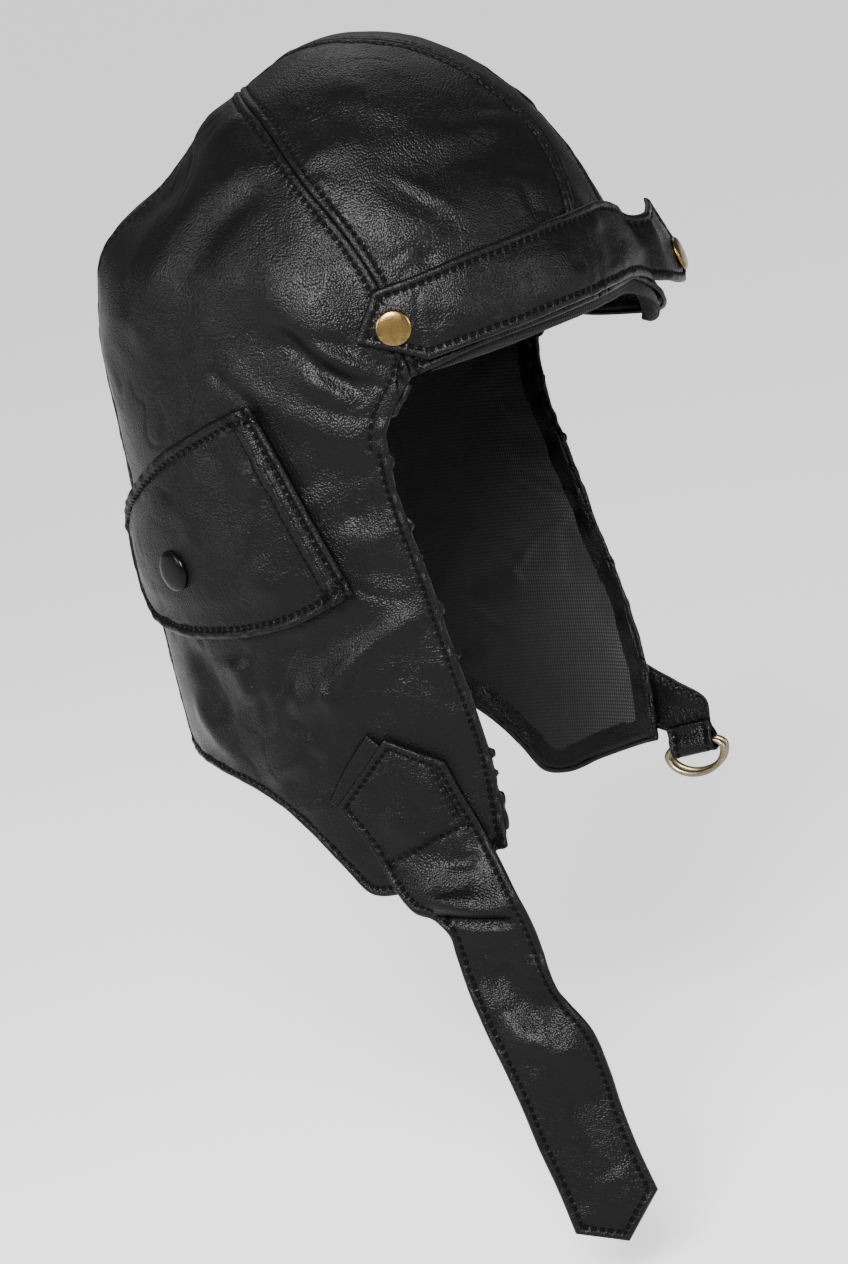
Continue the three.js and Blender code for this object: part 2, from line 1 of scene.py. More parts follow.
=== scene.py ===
"""Aviator hat of soft black imitation leather, in the form it has when worn.

Sizes are in millimetres until a mesh is made. +Z is up, -Y the front and -X the wearer's right.
"""

import math

import bmesh
import bpy
import numpy as np
from mathutils import Matrix, Vector


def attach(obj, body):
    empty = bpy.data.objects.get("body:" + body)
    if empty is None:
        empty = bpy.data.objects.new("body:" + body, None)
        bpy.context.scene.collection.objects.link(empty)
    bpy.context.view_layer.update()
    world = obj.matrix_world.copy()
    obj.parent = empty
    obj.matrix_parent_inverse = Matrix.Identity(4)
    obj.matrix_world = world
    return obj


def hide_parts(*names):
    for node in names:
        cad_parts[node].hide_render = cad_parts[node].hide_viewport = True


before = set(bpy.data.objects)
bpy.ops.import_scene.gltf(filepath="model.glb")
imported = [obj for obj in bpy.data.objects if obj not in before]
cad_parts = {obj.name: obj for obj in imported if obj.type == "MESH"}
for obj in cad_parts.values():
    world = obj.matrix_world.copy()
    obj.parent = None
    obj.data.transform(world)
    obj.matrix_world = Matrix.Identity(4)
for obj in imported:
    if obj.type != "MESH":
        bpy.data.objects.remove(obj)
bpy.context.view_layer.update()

bl_info = {
    "name": "Aviator hat",
    "version": (1, 0, 0),
    "blender": (4, 5, 0),
    "location": "3D View > Sidebar > Hat",
    "description": "Builds a soft leather aviator hat piece by piece",
    "category": "Object",
}

MM = 0.001
BODY = "root"

# Sizes of the solid model
CROWN_HEIGHT = 92
STRAP_THICKNESS = 2.4
COVER_THICKNESS = 2.2
LAY_GAP = 0.6
FLAP_SWING = 15
RING_WIRE = 1.2
RING_HALF_WIDTH = 11.4
RING_DEPTH = 11
RING_CORNER = 2.3
RING_SPACING = 3.3
LOOP_WIDTH = 17.6
LOOP_HOLE_DOWN = 7
FRONT_CORNER = 0.235
TEMPLE_CORNER = 0.415
BACK_CORNER = 0.53

# Sizes of the sewing
WALL = 1.7
STRAP_WALL = 2.0
SEAM_TOUCH = -0.12
SEAM_ROW = 3.2
HEM_ROW = 3.3
ROLL = 1.0
STEP = 1.2
EDGE_ROWS = np.array([0, 0.22, 0.55, 1.0, 1.6, 2.2, 2.8, 3.4, 4.1, 5.0, 6.1])
TURNED_HEM = 9
GROOVE = 0.75
PUCKER = 0.25
PUCKER_SIZE = 4.5
PUCKER_REACH = 5
PUFF_RUN = 7
PRESSED = 0.7
PRESS_WIDTH = 2.5
PLEAT = 3.2
PLEATED = 0.9
PLAIN = 0.4
WHOLE_ROW = (-1e9, 1e9)
FAR_AWAY = 50.0

# Creases of thin leather: the size of each wave, then its height
BROAD_WAVE, BROAD_HEIGHT = 26, 0.5
SMALL_WAVE, SMALL_HEIGHT = 12, 0.3
WRINKLE, WRINKLE_DEPTH = 9, 0.30
WRINKLE_STRETCH = [1, 1, 0.62]
WARP, WARP_REACH = 16, 5

# Threads: the length is a share of the stitch pitch
THREAD_LENGTH = 0.41
THREAD_LEAN = 0.10
THREAD_RISE = 0.06
THREAD_REACH = 1.6
ROW_REACH = 1.2
THREADS_AT_ONCE = 40

# Steps of the search for points and directions
CURVE_STEPS = 401
HALVINGS = 34
FARTHEST = 4.0
NORMAL_STEP = 0.05
SEAM_STEP = 0.004
FACING_STEP = 0.01


def table(columns, rows):
    """Rows of numbers as named columns."""
    return dict(zip(columns, np.array(rows, float).T))


CROWN = table(
    ["climb", "centre", "length", "width"],
    [
        [0, 3.5, 97.5, 81],
        [15, 3.5, 92.5, 81.5],
        [30, -1.3, 85, 79],
        [45, -6, 77.5, 76.5],
        [60, -7.5, 73.5, 75.5],
        [75, -8, 72, 75],
        [90, -8, 72, 75],
    ],
)
SKIRT = table(
    ["height", "centre", "length", "width"],
    [
        [-200, 4.5, 86.5, 71],
        [-160, 5.8, 89.8, 75.5],
        [-120, 6.2, 92.2, 79],
        [-80, 6, 94, 81.5],
        [-40, 5.2, 95.5, 82],
        [0, 3.5, 97.5, 81],
    ],
)
RIDGE_COLUMNS = ["x1", "y1", "z1", "x2", "y2", "z2", "spread", "height"]
BEND_COLUMNS = [*RIDGE_COLUMNS[:6], "x3", "y3", "z3", *RIDGE_COLUMNS[6:]]
FOLDS = table(
    RIDGE_COLUMNS,
    [
        [-60, 60, 34, -40, 80, -6, 20, 1.8],
        [-26, 40, 72, -40, 28, 72, 15, 4.6],
        [-46, 50, 52, -40, 62, 46, 9, -1.6],
        [-32, 86, 34, 26, 88, 34, 17, 5.6],
        [-6, 10, 91, 14, 8, 90, 18, 1.6],
        [-62, 22, 58, -66, 52, 40, 15, 1.8],
        [-78, 0, -2, -80, 22, 14, 9, -1.4],
        [-78, -14, -8, -76, 0, 22, 10, 1.6],
        [-30, -76, 40, -6, -84, 24, 9, 1.2],
        [-74, 30, -150, -78, -2, -118, 10, 1.6],
        [-76, 16, -112, -80, -8, -104, 8, -1.2],
        [74, 30, -150, 78, 2, -120, 11, 1.6],
        [60, 60, 30, 44, 80, -10, 20, 1.6],
        [40, -88, -24, 54, -76, -26, 20, 16],
    ],
)


def lookup(rows, key, at, name):
    """A value of a table on a smooth curve through its rows."""
    x, y = rows[key], rows[name]
    last = len(x) - 1
    ahead = np.minimum(np.arange(last + 1) + 1, last)
    behind = np.maximum(np.arange(last + 1) - 1, 0)
    slope = (y[ahead] - y[behind]) / (x[ahead] - x[behind])
    k = np.clip(at, x[0], x[last])
    i = np.clip(np.searchsorted(x, k) - 1, 0, last - 1)
    h = x[i + 1] - x[i]
    u = (k - x[i]) / h
    w = 1 - u
    start = y[i] * (1 + 2 * u) * w * w + slope[i] * h * u * w * w
    return start + y[i + 1] * u * u * (3 - 2 * u) + slope[i + 1] * h * u * u * (u - 1)


def form_value(p):
    """Below 1 inside the head form, above 1 outside it."""
    x, y, z = p.T
    up = z > 0
    climb = np.degrees(np.arcsin(np.clip(z / CROWN_HEIGHT, 0, 1)))

    def pick(name):
        return np.where(up, lookup(CROWN, "climb", climb, name), lookup(SKIRT, "height", z, name))

    across = x / pick("width")
    ahead = (y - pick("centre")) / pick("length")
    return across**2 + ahead**2 + np.where(up, z / CROWN_HEIGHT, 0) ** 2


def on_form(p):
    """The points of the head form on the rays through p: level ones below the origin's height."""
    p = np.array(p, float).reshape(-1, 3)
    centre = lookup(SKIRT, "height", p[:, 2], "centre")
    scale = 1 / np.sqrt(np.maximum(form_value(p), 1e-9))
    found = np.stack([p[:, 0] * scale, centre + (p[:, 1] - centre) * scale, p[:, 2]], 1)
    high = p[:, 2] > 0
    if high.any():
        middle = np.array([0, CROWN["centre"][0], 0])
        ray = p[high] - middle
        inside = np.zeros(len(ray))
        outside = np.full(len(ray), FARTHEST)
        for _ in range(HALVINGS):
            s = (inside + outside) / 2
            q = middle + ray * s[:, None]
            within = (q[:, 2] < CROWN_HEIGHT) & (form_value(q) < 1)
            inside = np.where(within, s, inside)
            outside = np.where(within, outside, s)
        found[high] = middle + ray * inside[:, None]
    return found


def bell(away, spread):
    """1 in the middle, falling softly to 0."""
    return np.exp(-((away / spread) ** 2))


def unit(v):
    return v / np.maximum(np.linalg.norm(v, axis=-1, keepdims=True), 1e-12)


def form_normal(p):
    """The directions that face straight out of the head form."""
    e = NORMAL_STEP * np.eye(3)
    return unit(np.stack([form_value(p + d) - form_value(p - d) for d in e], 1))


def ridges(p, rows):
    """Height of soft ridges and dents, each from one point to another."""
    total = np.zeros(len(p))
    for x1, y1, z1, x2, y2, z2, spread, height in zip(*rows.values()):
        a = np.array([x1, y1, z1])
        run = np.array([x2, y2, z2]) - a
        t = np.clip((p - a) @ run / (run @ run), 0, 1)
        total += height * bell(np.linalg.norm(p - a - t[:, None] * run, axis=1), spread)
    return total


def smooth(start, end, value):
    t = np.clip((value - start) / (end - start), 0, 1)
    return t * t * (3 - 2 * t)


def swing(p):
    """The left ear flap hangs further forward than the right one."""
    low = 1 - smooth(-190, -45, p[:, 2])
    front = 1 - smooth(15, 80, p[:, 1])
    moved = p.copy()
    moved[:, 1] -= np.where(p[:, 0] > 0, FLAP_SWING * low * front, 0)
    return moved


def skin(p, lift):
    """Points of the outer face of the leather near p, lifted off it."""
    q = on_form(p)
    height = ridges(q, FOLDS) + lift
    return swing(q + form_normal(q) * height[:, None])


def lattice(i, j, k, seed):
    """A repeatable number from -1 to 1 for each corner of a grid of cells."""
    h = i * 374761393 + j * 668265263 + k * 1442695041 + seed * 1274126177
    h = (h ^ (h >> 13)) & 0xFFFFFFFF
    h = (h * 1103515245 + 12345) & 0xFFFFFFFF
    return ((h ^ (h >> 16)) & 0xFFFF) / 32767.5 - 1


def noise(p, size, seed=0):
    """Smooth repeatable noise from -1 to 1 with cells of that size."""
    q = p / size
    cell = np.floor(q).astype(np.int64)
    t = q - cell
    t = t * t * t * (t * (6 * t - 15) + 10)
    total = np.zeros(len(p))
    for corner in np.ndindex(2, 2, 2):
        side = np.array(corner)
        weight = np.prod(np.where(side, t, 1 - t), axis=1)
        total += weight * lattice(*(cell + side).T, seed)
    return total


def noise_along(run, size, seed, aside=0.0):
    """Noise along a line, and across it where aside is given."""
    return noise(np.stack([run, aside + 0 * run, 0 * run], 1), size, seed)


def run_of(line):
    """The length of each step of a line of points, and how far along it each point lies."""
    steps = np.linalg.norm(np.diff(line, axis=0), axis=1)
    return steps, np.concatenate([[0], np.cumsum(steps)])


class Curve:
    """A smooth curve through points: point goes by their number, at by the length."""

    def __init__(self, points, closed=False):
        self.points = np.array(points, float)
        self.closed = closed
        self.share = np.linspace(0, 1, CURVE_STEPS)
        self.run = run_of(self.point(self.share))[1]
        self.length = self.run[-1]

    def point(self, t):
        t = np.atleast_1d(np.asarray(t, float))
        n = len(self.points)
        if self.closed:
            near = self.points[np.arange(-1, n + 3) % n]
            place = t * n
            i = np.clip(np.floor(place).astype(int), 0, n - 1)
        else:
            first = 2 * self.points[0] - self.points[1]
            last = 2 * self.points[-1] - self.points[-2]
            near = np.vstack([first, self.points, last])
            place = t * (n - 1)
            i = np.clip(np.floor(place).astype(int), 0, n - 2)
        w = (place - i)[:, None]
        p0, p1, p2, p3 = near[i], near[i + 1], near[i + 2], near[i + 3]
        pairs = ((p0, p1), (p1, p2), (p2, p3))
        d0, d1, d2 = (np.linalg.norm(b - a, axis=1, keepdims=True) ** 0.5 for a, b in pairs)
        t1 = ((p1 - p0) / d0 - (p2 - p0) / (d0 + d1) + (p2 - p1) / d1) * d1
        t2 = ((p2 - p1) / d1 - (p3 - p1) / (d1 + d2) + (p3 - p2) / d2) * d1
        bend = (-3 * p1 + 3 * p2 - 2 * t1 - t2) * w**2 + (2 * p1 - 2 * p2 + t1 + t2) * w**3
        return p1 + t1 * w + bend

    def at(self, u):
        u = np.clip(np.atleast_1d(np.asarray(u, float)), 0, 1)
        return self.point(np.interp(u * self.length, self.run, self.share))


def beside(seam, u, distance):
    """Points of a seam moved sideways along the form, to the left hand of its run."""
    u = np.atleast_1d(u)
    a = on_form(seam.at(np.maximum(u - SEAM_STEP, 0)))
    b = on_form(seam.at(np.minimum(u + SEAM_STEP, 1)))
    p = on_form(seam.at(u))
    return p + unit(np.cross(form_normal(p), b - a)) * distance


def spacing(length, step=STEP):
    """Places from 0 to 1, closer together near both ends."""
    last = EDGE_ROWS[-1]
    count = max(int((length - 2 * last) / step), 2)
    middle = np.linspace(last, length - last, count + 1)
    return np.concatenate([EDGE_ROWS[:-1], middle, (length - EDGE_ROWS[::-1])[1:]]) / length


def patch(us, vs, bottom, right, top, left):
    """A grid of points spanned by four sides, from left to right and from bottom to top."""
    zero, one = np.zeros(1), np.ones(1)
    c00 = (bottom(zero) + left(zero)) / 2
    c10 = (bottom(one) + right(zero)) / 2
    c01 = (top(zero) + left(one)) / 2
    c11 = (top(one) + right(one)) / 2

    def pinned(side, t, start, end):
        near = (start - side(zero)) * ((1 - t) ** 8)[:, None]
        return side(t) + near + (end - side(one)) * (t**8)[:, None]

    b = pinned(bottom, us, c00, c10)[None]
    t = pinned(top, us, c01, c11)[None]
    l = pinned(left, vs, c00, c01)[:, None]
    r = pinned(right, vs, c10, c11)[:, None]
    u, v = us[None, :, None], vs[:, None, None]
    corners = (1 - u) * (1 - v) * c00 + u * (1 - v) * c10 + (1 - u) * v * c01 + u * v * c11
    return b * (1 - v) + t * v + l * (1 - u) + r * u - corners


def measure(points, line):
    """Distance of each point from a line of points, and how far along the line it lies."""
    steps, run = run_of(line)
    far = (points**2).sum(1)[:, None] + (line**2).sum(1)[None] - 2 * points @ line.T
    nearest = far.argmin(1)
    best = np.full(len(points), 1e9)
    along = np.zeros(len(points))
    for start in (np.maximum(nearest - 1, 0), np.minimum(nearest, len(line) - 2)):
        a, d = line[start], line[start + 1] - line[start]
        t = np.clip(((points - a) * d).sum(1) / np.maximum((d * d).sum(1), 1e-12), 0, 1)
        distance = np.linalg.norm(points - a - t[:, None] * d, axis=1)
        closer = distance < best
        best = np.where(closer, distance, best)
        along = np.where(closer, run[start] + t * steps[start], along)
    return best, along


class Rim:
    """One edge of a piece: how it is turned, raised and sewn.

    Rows are the distances of its stitches from the edge, and spans says where along it a row runs.
    Raised is the height of the soft roll between two rows, and puff that of the leather past the
    last row.
    Shown is the line's place in the finished piece.
    """

    def __init__(
        self, line, rows=(), raised=0.0, puff=0.0, depth=0.4, roll=ROLL, spans=None, edge=True
    ):
        self.line = self.shown = line
        self.rows, self.spans, self.edge = rows, spans or {}, edge
        self.raised, self.puff, self.depth, self.roll = raised, puff, depth, roll
        self.uneven = PLEATED if spans else PLAIN


def rim_relief(points, rims):
    """Height that the rims give, and each point's place beside the nearest row of stitches."""
    swell, groove, drop, along_row = np.zeros((4, len(points)))
    beside_row, nearest = np.full((2, len(points)), FAR_AWAY)
    for rim in rims:
        distance, along = measure(points, rim.line)
        rim.distance, rim.along = distance, along
        if rim.edge:
            nearest = np.minimum(nearest, distance)
            t = np.clip(1 - distance / rim.roll, 0, 1)
            drop = np.maximum(drop, rim.roll * (1 - np.sqrt(1 - t * t)))
        before = 0.0
        for inset in rim.rows:
            low, high = rim.spans.get(inset, WHOLE_ROW)
            off = distance - inset
            inside = (along >= low) & (along <= high)
            if inset:
                place = np.clip((distance - before) / (inset - before), 0, 1)
                waves = 1 + rim.uneven * noise_along(along, PLEAT, 11)
                roll = rim.raised * waves * np.sin(np.pi * place) ** 0.8 * inside
                swell = np.maximum(swell, roll)
            groove = np.maximum(groove, rim.depth * bell(off, GROOVE) * inside)
            if not rim.spans:
                before = inset
            closer = (abs(off) < abs(beside_row)) & inside
            beside_row = np.where(closer, off, beside_row)
            along_row = np.where(closer, along, along_row)
    last = max([row for rim in rims if rim.edge for row in rim.rows], default=0.0)
    puff = max(rim.puff for rim in rims) * smooth(last, last + PUFF_RUN, nearest)
    puff = puff * (1 - PRESSED * bell(beside_row, PRESS_WIDTH))
    pucker = noise_along(along_row, PUCKER_SIZE, 7, beside_row * 0.4)
    pull = bell(beside_row, PUCKER_REACH) * smooth(0.3, 2.5, nearest)
    height = swell - groove - drop + puff + PUCKER * pucker * pull
    return height, np.stack([beside_row, along_row, nearest], 1)


def bends(p, rows):
    """Height of folds given one by one: each runs through three points and dies out at both ends.
    """
    total = np.zeros(len(p))
    t = np.linspace(0, 1, 17)[:, None]
    for *corners, spread, height in zip(*rows.values()):
        a, b, c = np.array(corners).reshape(3, 3)
        line = a * (1 - t) * (1 - 2 * t) + b * 4 * t * (1 - t) + c * t * (2 * t - 1)
        distance, along = measure(p, line)
        along = along / run_of(line)[0].sum()
        ends = smooth(-0.02, 0.28, along) * smooth(-0.02, 0.28, 1 - along)
        total += height * bell(distance, spread) * ends
    return total


def crumple(p, strength=1.0):
    """Soft waves and small wrinkles of thin leather."""
    warped = p + np.stack([noise(p, WARP, s) for s in (21, 22, 23)], 1) * WARP_REACH
    broad = BROAD_HEIGHT * noise(p, BROAD_WAVE, 1) + SMALL_HEIGHT * noise(warped, SMALL_WAVE, 2)
    line = 1 - abs(noise(warped * np.array(WRINKLE_STRETCH), WRINKLE, 3))
    where = smooth(-0.1, 0.5, noise(p, 24, 4))
    return strength * (broad - WRINKLE_DEPTH * where * smooth(0.72, 1.0, line))


def grid_normals(grid, outward):
    """Directions straight out of a grid of points, on the side that outward names."""
    down, across = np.gradient(grid, axis=0), np.gradient(grid, axis=1)
    found = unit(np.cross(across, down)).reshape(-1, 3)
    return found if (found * outward).sum() > 0 else -found


def new_object(name, bm, finishes, wanted_slot, *replaces):
    """A finished piece that rides on the hat, and the solid that it stands for."""
    mesh = bpy.data.meshes.new(name)
    bm.to_mesh(mesh)
    bm.free()
    mesh.shade_smooth()
    for finish in finishes:
        mesh.materials.append(finish_of(finish))
    piece = bpy.data.objects.new(name, mesh)
    bpy.context.scene.collection.objects.link(piece)
    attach(piece, BODY)
    if replaces:
        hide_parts(*replaces)
    return piece


def grid_mesh(grid):
    """A sheet whose vertices take the places of a grid of points, and the order they come in."""
    rows, columns = grid.shape[:2]
    bm = bmesh.new()
    bmesh.ops.create_grid(bm, x_segments=columns - 1, y_segments=rows - 1, size=1)
    place = (np.array([v.co[:2] for v in bm.verts]) + 1) / 2
    i, j = np.rint(place * (columns - 1, rows - 1)).astype(int).T
    order = j * columns + i
    for vertex, point in zip(bm.verts, grid.reshape(-1, 3)[order] * MM):
        vertex.co = point
    return bm, order


def grid_piece(
    name, grid, outward, sewing, finishes, node, wall, slot="leather", hem=None, taper=False
):
    """A sheet with a wall's thickness, its hem in the third finish, or with thinner edges."""
    bm, order = grid_mesh(grid)
    outward, sewing = outward[order], sewing[order]
    bm.normal_update()
    bm.verts.ensure_lookup_table()
    sample = range(0, len(bm.verts), max(len(bm.verts) // 400, 1))
    if sum(bm.verts[n].normal.dot(Vector(outward[n])) for n in sample) < 0:
        bmesh.ops.reverse_faces(bm, faces=bm.faces[:])
    if hem is not None:
        for face in bm.faces:
            if min(sewing[v.index, 2] for v in face.verts) < hem:
                face.material_index = 2
    piece = new_object(name, bm, finishes, slot, node)
    stitch = piece.data.attributes.new("sewing", "FLOAT_VECTOR", "POINT")
    stitch.data.foreach_set("vector", sewing.astype(np.float32).ravel())
    solid = piece.modifiers.new("wall", "SOLIDIFY")
    solid.thickness = wall * MM
    solid.offset = -1
    solid.use_even_offset = False
    if hem is not None:
        solid.material_offset = 1
        solid.material_offset_rim = 0
    if taper:
        group = piece.vertex_groups.new(name="taper")
        near = np.clip(1 - sewing[:, 2] / ROLL, 0, 1)
        for n, value in enumerate(np.sqrt(1 - near * near) * 0.75 + 0.25):
            group.add([n], float(value), "REPLACE")
        solid.vertex_group = "taper"
    return piece


def threads_along(rim, points, normals, pitch, section):
    """A matrix for each thread along the rows of one rim."""
    run = run_of(rim.line)[1]
    size = (pitch * THREAD_LENGTH, *section)

    def shown_at(s):
        return np.array([np.interp(s, run, c) for c in rim.shown.T])

    for inset in rim.rows:
        low, high = rim.spans.get(inset, WHOLE_ROW)
        near = np.flatnonzero(abs(rim.distance - inset) < ROW_REACH)
        for s in np.arange(pitch * 0.5, run[-1], pitch):
            if not len(near) or not low <= s <= high:
                continue
            off = np.hypot(rim.along[near] - s, rim.distance[near] - inset)
            if off.min() > THREAD_REACH:
                continue
            n = near[off.argmin()]
            normal = normals[n]
            ahead = shown_at(s + 0.8) - shown_at(s - 0.8)
            run_to = unit(ahead - normal * (ahead @ normal))
            side = np.cross(normal, run_to)
            if side @ (points[n] - shown_at(s)) < 0:
                side = -side
            place = points[n] + run_to * (s - rim.along[n]) + side * (inset - rim.distance[n])
            lean = unit(run_to + side * THREAD_LEAN)
            axes = np.stack([lean, np.cross(normal, lean), normal], 1) * size * MM
            basis = Matrix(axes.tolist()).to_4x4()
            basis.translation = Vector((place + normal * THREAD_RISE) * MM)
            yield basis


def stitches(name, sewn, closer=1.0, wide=0.38, tall=0.3):
    """Short threads along every row of stitches, half sunk in the leather."""
    pitch = settings()[0].pitch * closer
    threads = []
    for grid, outward, rims in sewn:
        normals = grid_normals(grid, outward)
        for rim in rims:
            threads += threads_along(rim, grid.reshape(-1, 3), normals, pitch, (wide, tall))
    if not threads:
        raise RuntimeError(name + " has no stitches")
    bm = bmesh.new()
    for first in range(0, len(threads), THREADS_AT_ONCE):
        few = bmesh.new()
        for basis in threads[first : first + THREADS_AT_ONCE]:
            bmesh.ops.create_uvsphere(few, u_segments=6, v_segments=4, radius=1, matrix=basis)
        bmesh.ops.recalc_face_normals(few, faces=few.faces[:])
        mesh = bpy.data.meshes.new(name)
        few.to_mesh(mesh)
        few.free()
        bm.from_mesh(mesh)
        bpy.data.meshes.remove(mesh)
    new_object(name, bm, ["thread"], "leather")


# Materials


class Wire:
    """A value that changes over a surface, as the output of a node."""

    def __init__(self, tree, socket):
        self.tree = tree
        self.socket = socket

    def math(self, operation, *others):
        made = self.tree.nodes.new("ShaderNodeMath")
        made.operation = operation
        for place, value in enumerate((self, *others)):
            put(self.tree, made.inputs[place], value)
        return Wire(self.tree, made.outputs[0])

    def __add__(self, other):
        return self.math("ADD", other)

    def __sub__(self, other):
        return self.math("SUBTRACT", other)

    def __mul__(self, other):
        return self.math("MULTIPLY", other)

    def __truediv__(self, other):
        return self.math("DIVIDE", other)

    def between(self, low, high, to_low=0.0, to_high=1.0):
        """Goes softly from one value to another while this goes from low to high."""
        made = self.tree.nodes.new("ShaderNodeMapRange")
        made.interpolation_type = "SMOOTHSTEP"
        for name, value in (
            ("Value", self),
            ("From Min", low),
            ("From Max", high),
            ("To Min", to_low),
            ("To Max", to_high),
        ):
            put(self.tree, made.inputs[name], value)
        return Wire(self.tree, made.outputs[0])

    def bell(self, middle, spread):
        """1 at the middle, falling to 0 on both sides."""
        away = (self - middle) / spread
        return (away * away * -1).math("EXPONENT")


def put(tree, socket, value):
    if isinstance(value, Wire):
        tree.links.new(value.socket, socket)
    else:
        socket.default_value = value


def add_node(tree, kind, values=None, output=0, **settings):
    """A node with its settings and inputs, and its output as a wire."""
    made = tree.nodes.new(kind)
    for name, value in settings.items():
        setattr(made, name, value)
    for name, value in (values or {}).items():
        put(tree, made.inputs[name], value)
    return Wire(tree, made.outputs[output])


def cloud(tree, place, scale, detail=2.0, output=0, **more):
    """Soft noise over a surface."""
    values = {"Vector": place, "Scale": scale, "Detail": detail, **more}
    return add_node(tree, "ShaderNodeTexNoise", values, output)


def vector_math(tree, operation, first, second):
    values = {0: first, 1: second}
    return add_node(tree, "ShaderNodeVectorMath", values, operation=operation)


def parts_of(tree, vector):
    """The three numbers of a vector."""
    parts = tree.nodes.new("ShaderNodeSeparateXYZ")
    put(tree, parts.inputs[0], vector)
    return [Wire(tree, s) for s in parts.outputs]


def place_group(tree, name, values):
    """A node group in a material with its own values, and its outputs as wires."""
    group = tree.nodes.new("ShaderNodeGroup")
    group.node_tree = bpy.data.node_groups[name]
    for label, value in values.items():
        put(tree, group.inputs[label], value)
    return {s.name: Wire(tree, s) for s in group.outputs}


def new_group(name, inputs, outputs):
    """A node group with named inputs and outputs."""
    group = bpy.data.node_groups.new(name, "ShaderNodeTree")
    add_socket = group.interface.new_socket
    for label, kind, default in inputs:
        socket = add_socket(name=label, in_out="INPUT", socket_type=kind)
        if default is not None:
            socket.default_value = default
    for label in outputs:
        add_socket(name=label, in_out="OUTPUT", socket_type="NodeSocketFloat")
    entry = group.nodes.new("NodeGroupInput")
    leave = group.nodes.new("NodeGroupOutput")
    return group, {s.name: Wire(group, s) for s in entry.outputs if s.name}, leave


def grain_group():
    """Pebble grain and fine creases of soft leather. Place is in millimetres."""
    group, given, leave = new_group(
        "leather grain",
        [
            ("Place", "NodeSocketVector", None),
            ("Grain size", "NodeSocketFloat", 0.8),
            ("Crease size", "NodeSocketFloat", 9.0),
        ],
        ["Height", "Creases", "Tone"],
    )
    place = given["Place"]
    drift = cloud(group, place, 0.07, 1.0, 1)
    moved = vector_math(group, "ADD", place, vector_math(group, "MULTIPLY", drift, (4.0, 4.0, 4.0)))
    fineness = given["Grain size"].math("POWER", -1.0)
    pebbles = []
    for stretch in ((1.0, 0.8, 1.05), (1.0, 1.05, 0.78)):
        drawn = vector_math(group, "MULTIPLY", moved, stretch)
        values = {"Vector": drawn, "Scale": fineness, "Randomness": 0.85}
        cells = add_node(group, "ShaderNodeTexVoronoi", values, feature="F1")
        pebbles.append(cells * cells * -1.5 + 1.0)
    patchy = cloud(group, place, 0.05)
    mask = patchy.between(0.42, 0.58)
    pebble = pebbles[0] * mask + pebbles[1] * (mask * -1 + 1)
    fine = cloud(group, moved, fineness * 1.6, Roughness=0.6)
    finer = given["Crease size"].math("POWER", -1.0)
    wrinkle = cloud(group, moved, finer, 3.0, Roughness=0.55, Distortion=1.1)
    line = ((wrinkle - 0.5).math("ABSOLUTE") * -1 + 0.06).between(0.0, 0.06)
    creases = line * cloud(group, place, 0.045, 1.5).between(0.5, 0.66)
    soft = cloud(group, moved, 0.3)
    height = pebble * 0.9 + fine * 0.2 + soft * 0.16 - creases * 0.6
    tone = patchy * 0.6 + pebble * 0.35
    for label, value in (("Height", height), ("Creases", creases), ("Tone", tone)):
        put(group, leave.inputs[label], value)


def sewing_group():
    """Grooves and puckers beside rows of stitches, by the place of each point beside them, and a
    mask of painted shade in the stitch holes.
    """
    group, given, leave = new_group(
        "sewn rows",
        [
            ("Beside", "NodeSocketFloat", 9.0),
            ("Along", "NodeSocketFloat", 0.0),
            ("Pitch", "NodeSocketFloat", 3.0),
        ],
        ["Height", "Shade"],
    )
    wave = (given["Along"] / given["Pitch"] * (2 * math.pi)).math("COSINE")
    dash = wave.between(0.7, -0.3)
    row = given["Beside"].bell(0.0, 0.5)
    wide = given["Beside"].bell(0.0, 1.7)
    put(group, leave.inputs["Height"], row * dash * -0.85 - wide * (dash * 0.16 + 0.18))
    # Shade marks the stitch holes, where the leather is painted darker: painted shade
    put(group, leave.inputs["Shade"], row * dash)


def place_in_mm(tree):
    place = add_node(tree, "ShaderNodeTexCoord", None, 3)
    return add_node(tree, "ShaderNodeVectorMath", {0: place, "Scale": 1000.0}, 0, operation="SCALE")


def new_material(name, **values):
    """A material, its tree and its Principled shader, with fixed values on the shader's sockets."""
    material = bpy.data.materials.new(name)
    material.use_nodes = True
    tree = material.node_tree
    shader = tree.nodes["Principled BSDF"]
    for label, value in values.items():
        shader.inputs[label.replace("_", " ")].default_value = value
    return material, tree, shader


def dress(tree, shader, colour, roughness, normal):
    """Joins what changes over the surface to the shader."""
    for label, value in (("Base Color", colour), ("Roughness", roughness), ("Normal", normal)):
        put(tree, shader.inputs[label], value)


def times(colour, share):
    return tuple(c * share for c in colour)


def blend_colours(tree, factor, first, second):
    made = tree.nodes.new("ShaderNodeMix")
    made.data_type = "RGBA"
    put(tree, made.inputs["Factor"], factor)
    for label, colour in (("A", first), ("B", second)):
        socket = next(s for s in made.inputs if s.name == label and s.type == "RGBA")
        put(tree, socket, colour if isinstance(colour, Wire) else (*colour, 1.0))
    return Wire(tree, next(s for s in made.outputs if s.type == "RGBA"))


def bump(tree, height, distance_mm, normal=None):
    values = {"Height": height, "Distance": distance_mm * MM, "Strength": 1.0}
    if normal:
        values["Normal"] = normal
    return add_node(tree, "ShaderNodeBump", values)


LEATHER_GLOSS = 0.08
STITCH_DEPTH = 0.6
KNIT_GLOSS = 0.06
KNIT_SHEEN = 0.08
KNIT_DARK = (0.004, 0.004, 0.0045)
KNIT_DEPTH = 0.22
HEAD_RADIUS = 85
THREAD_GLOSS = 0.02
THREAD_DEPTH = 0.08
METAL_DEPTH = 0.03


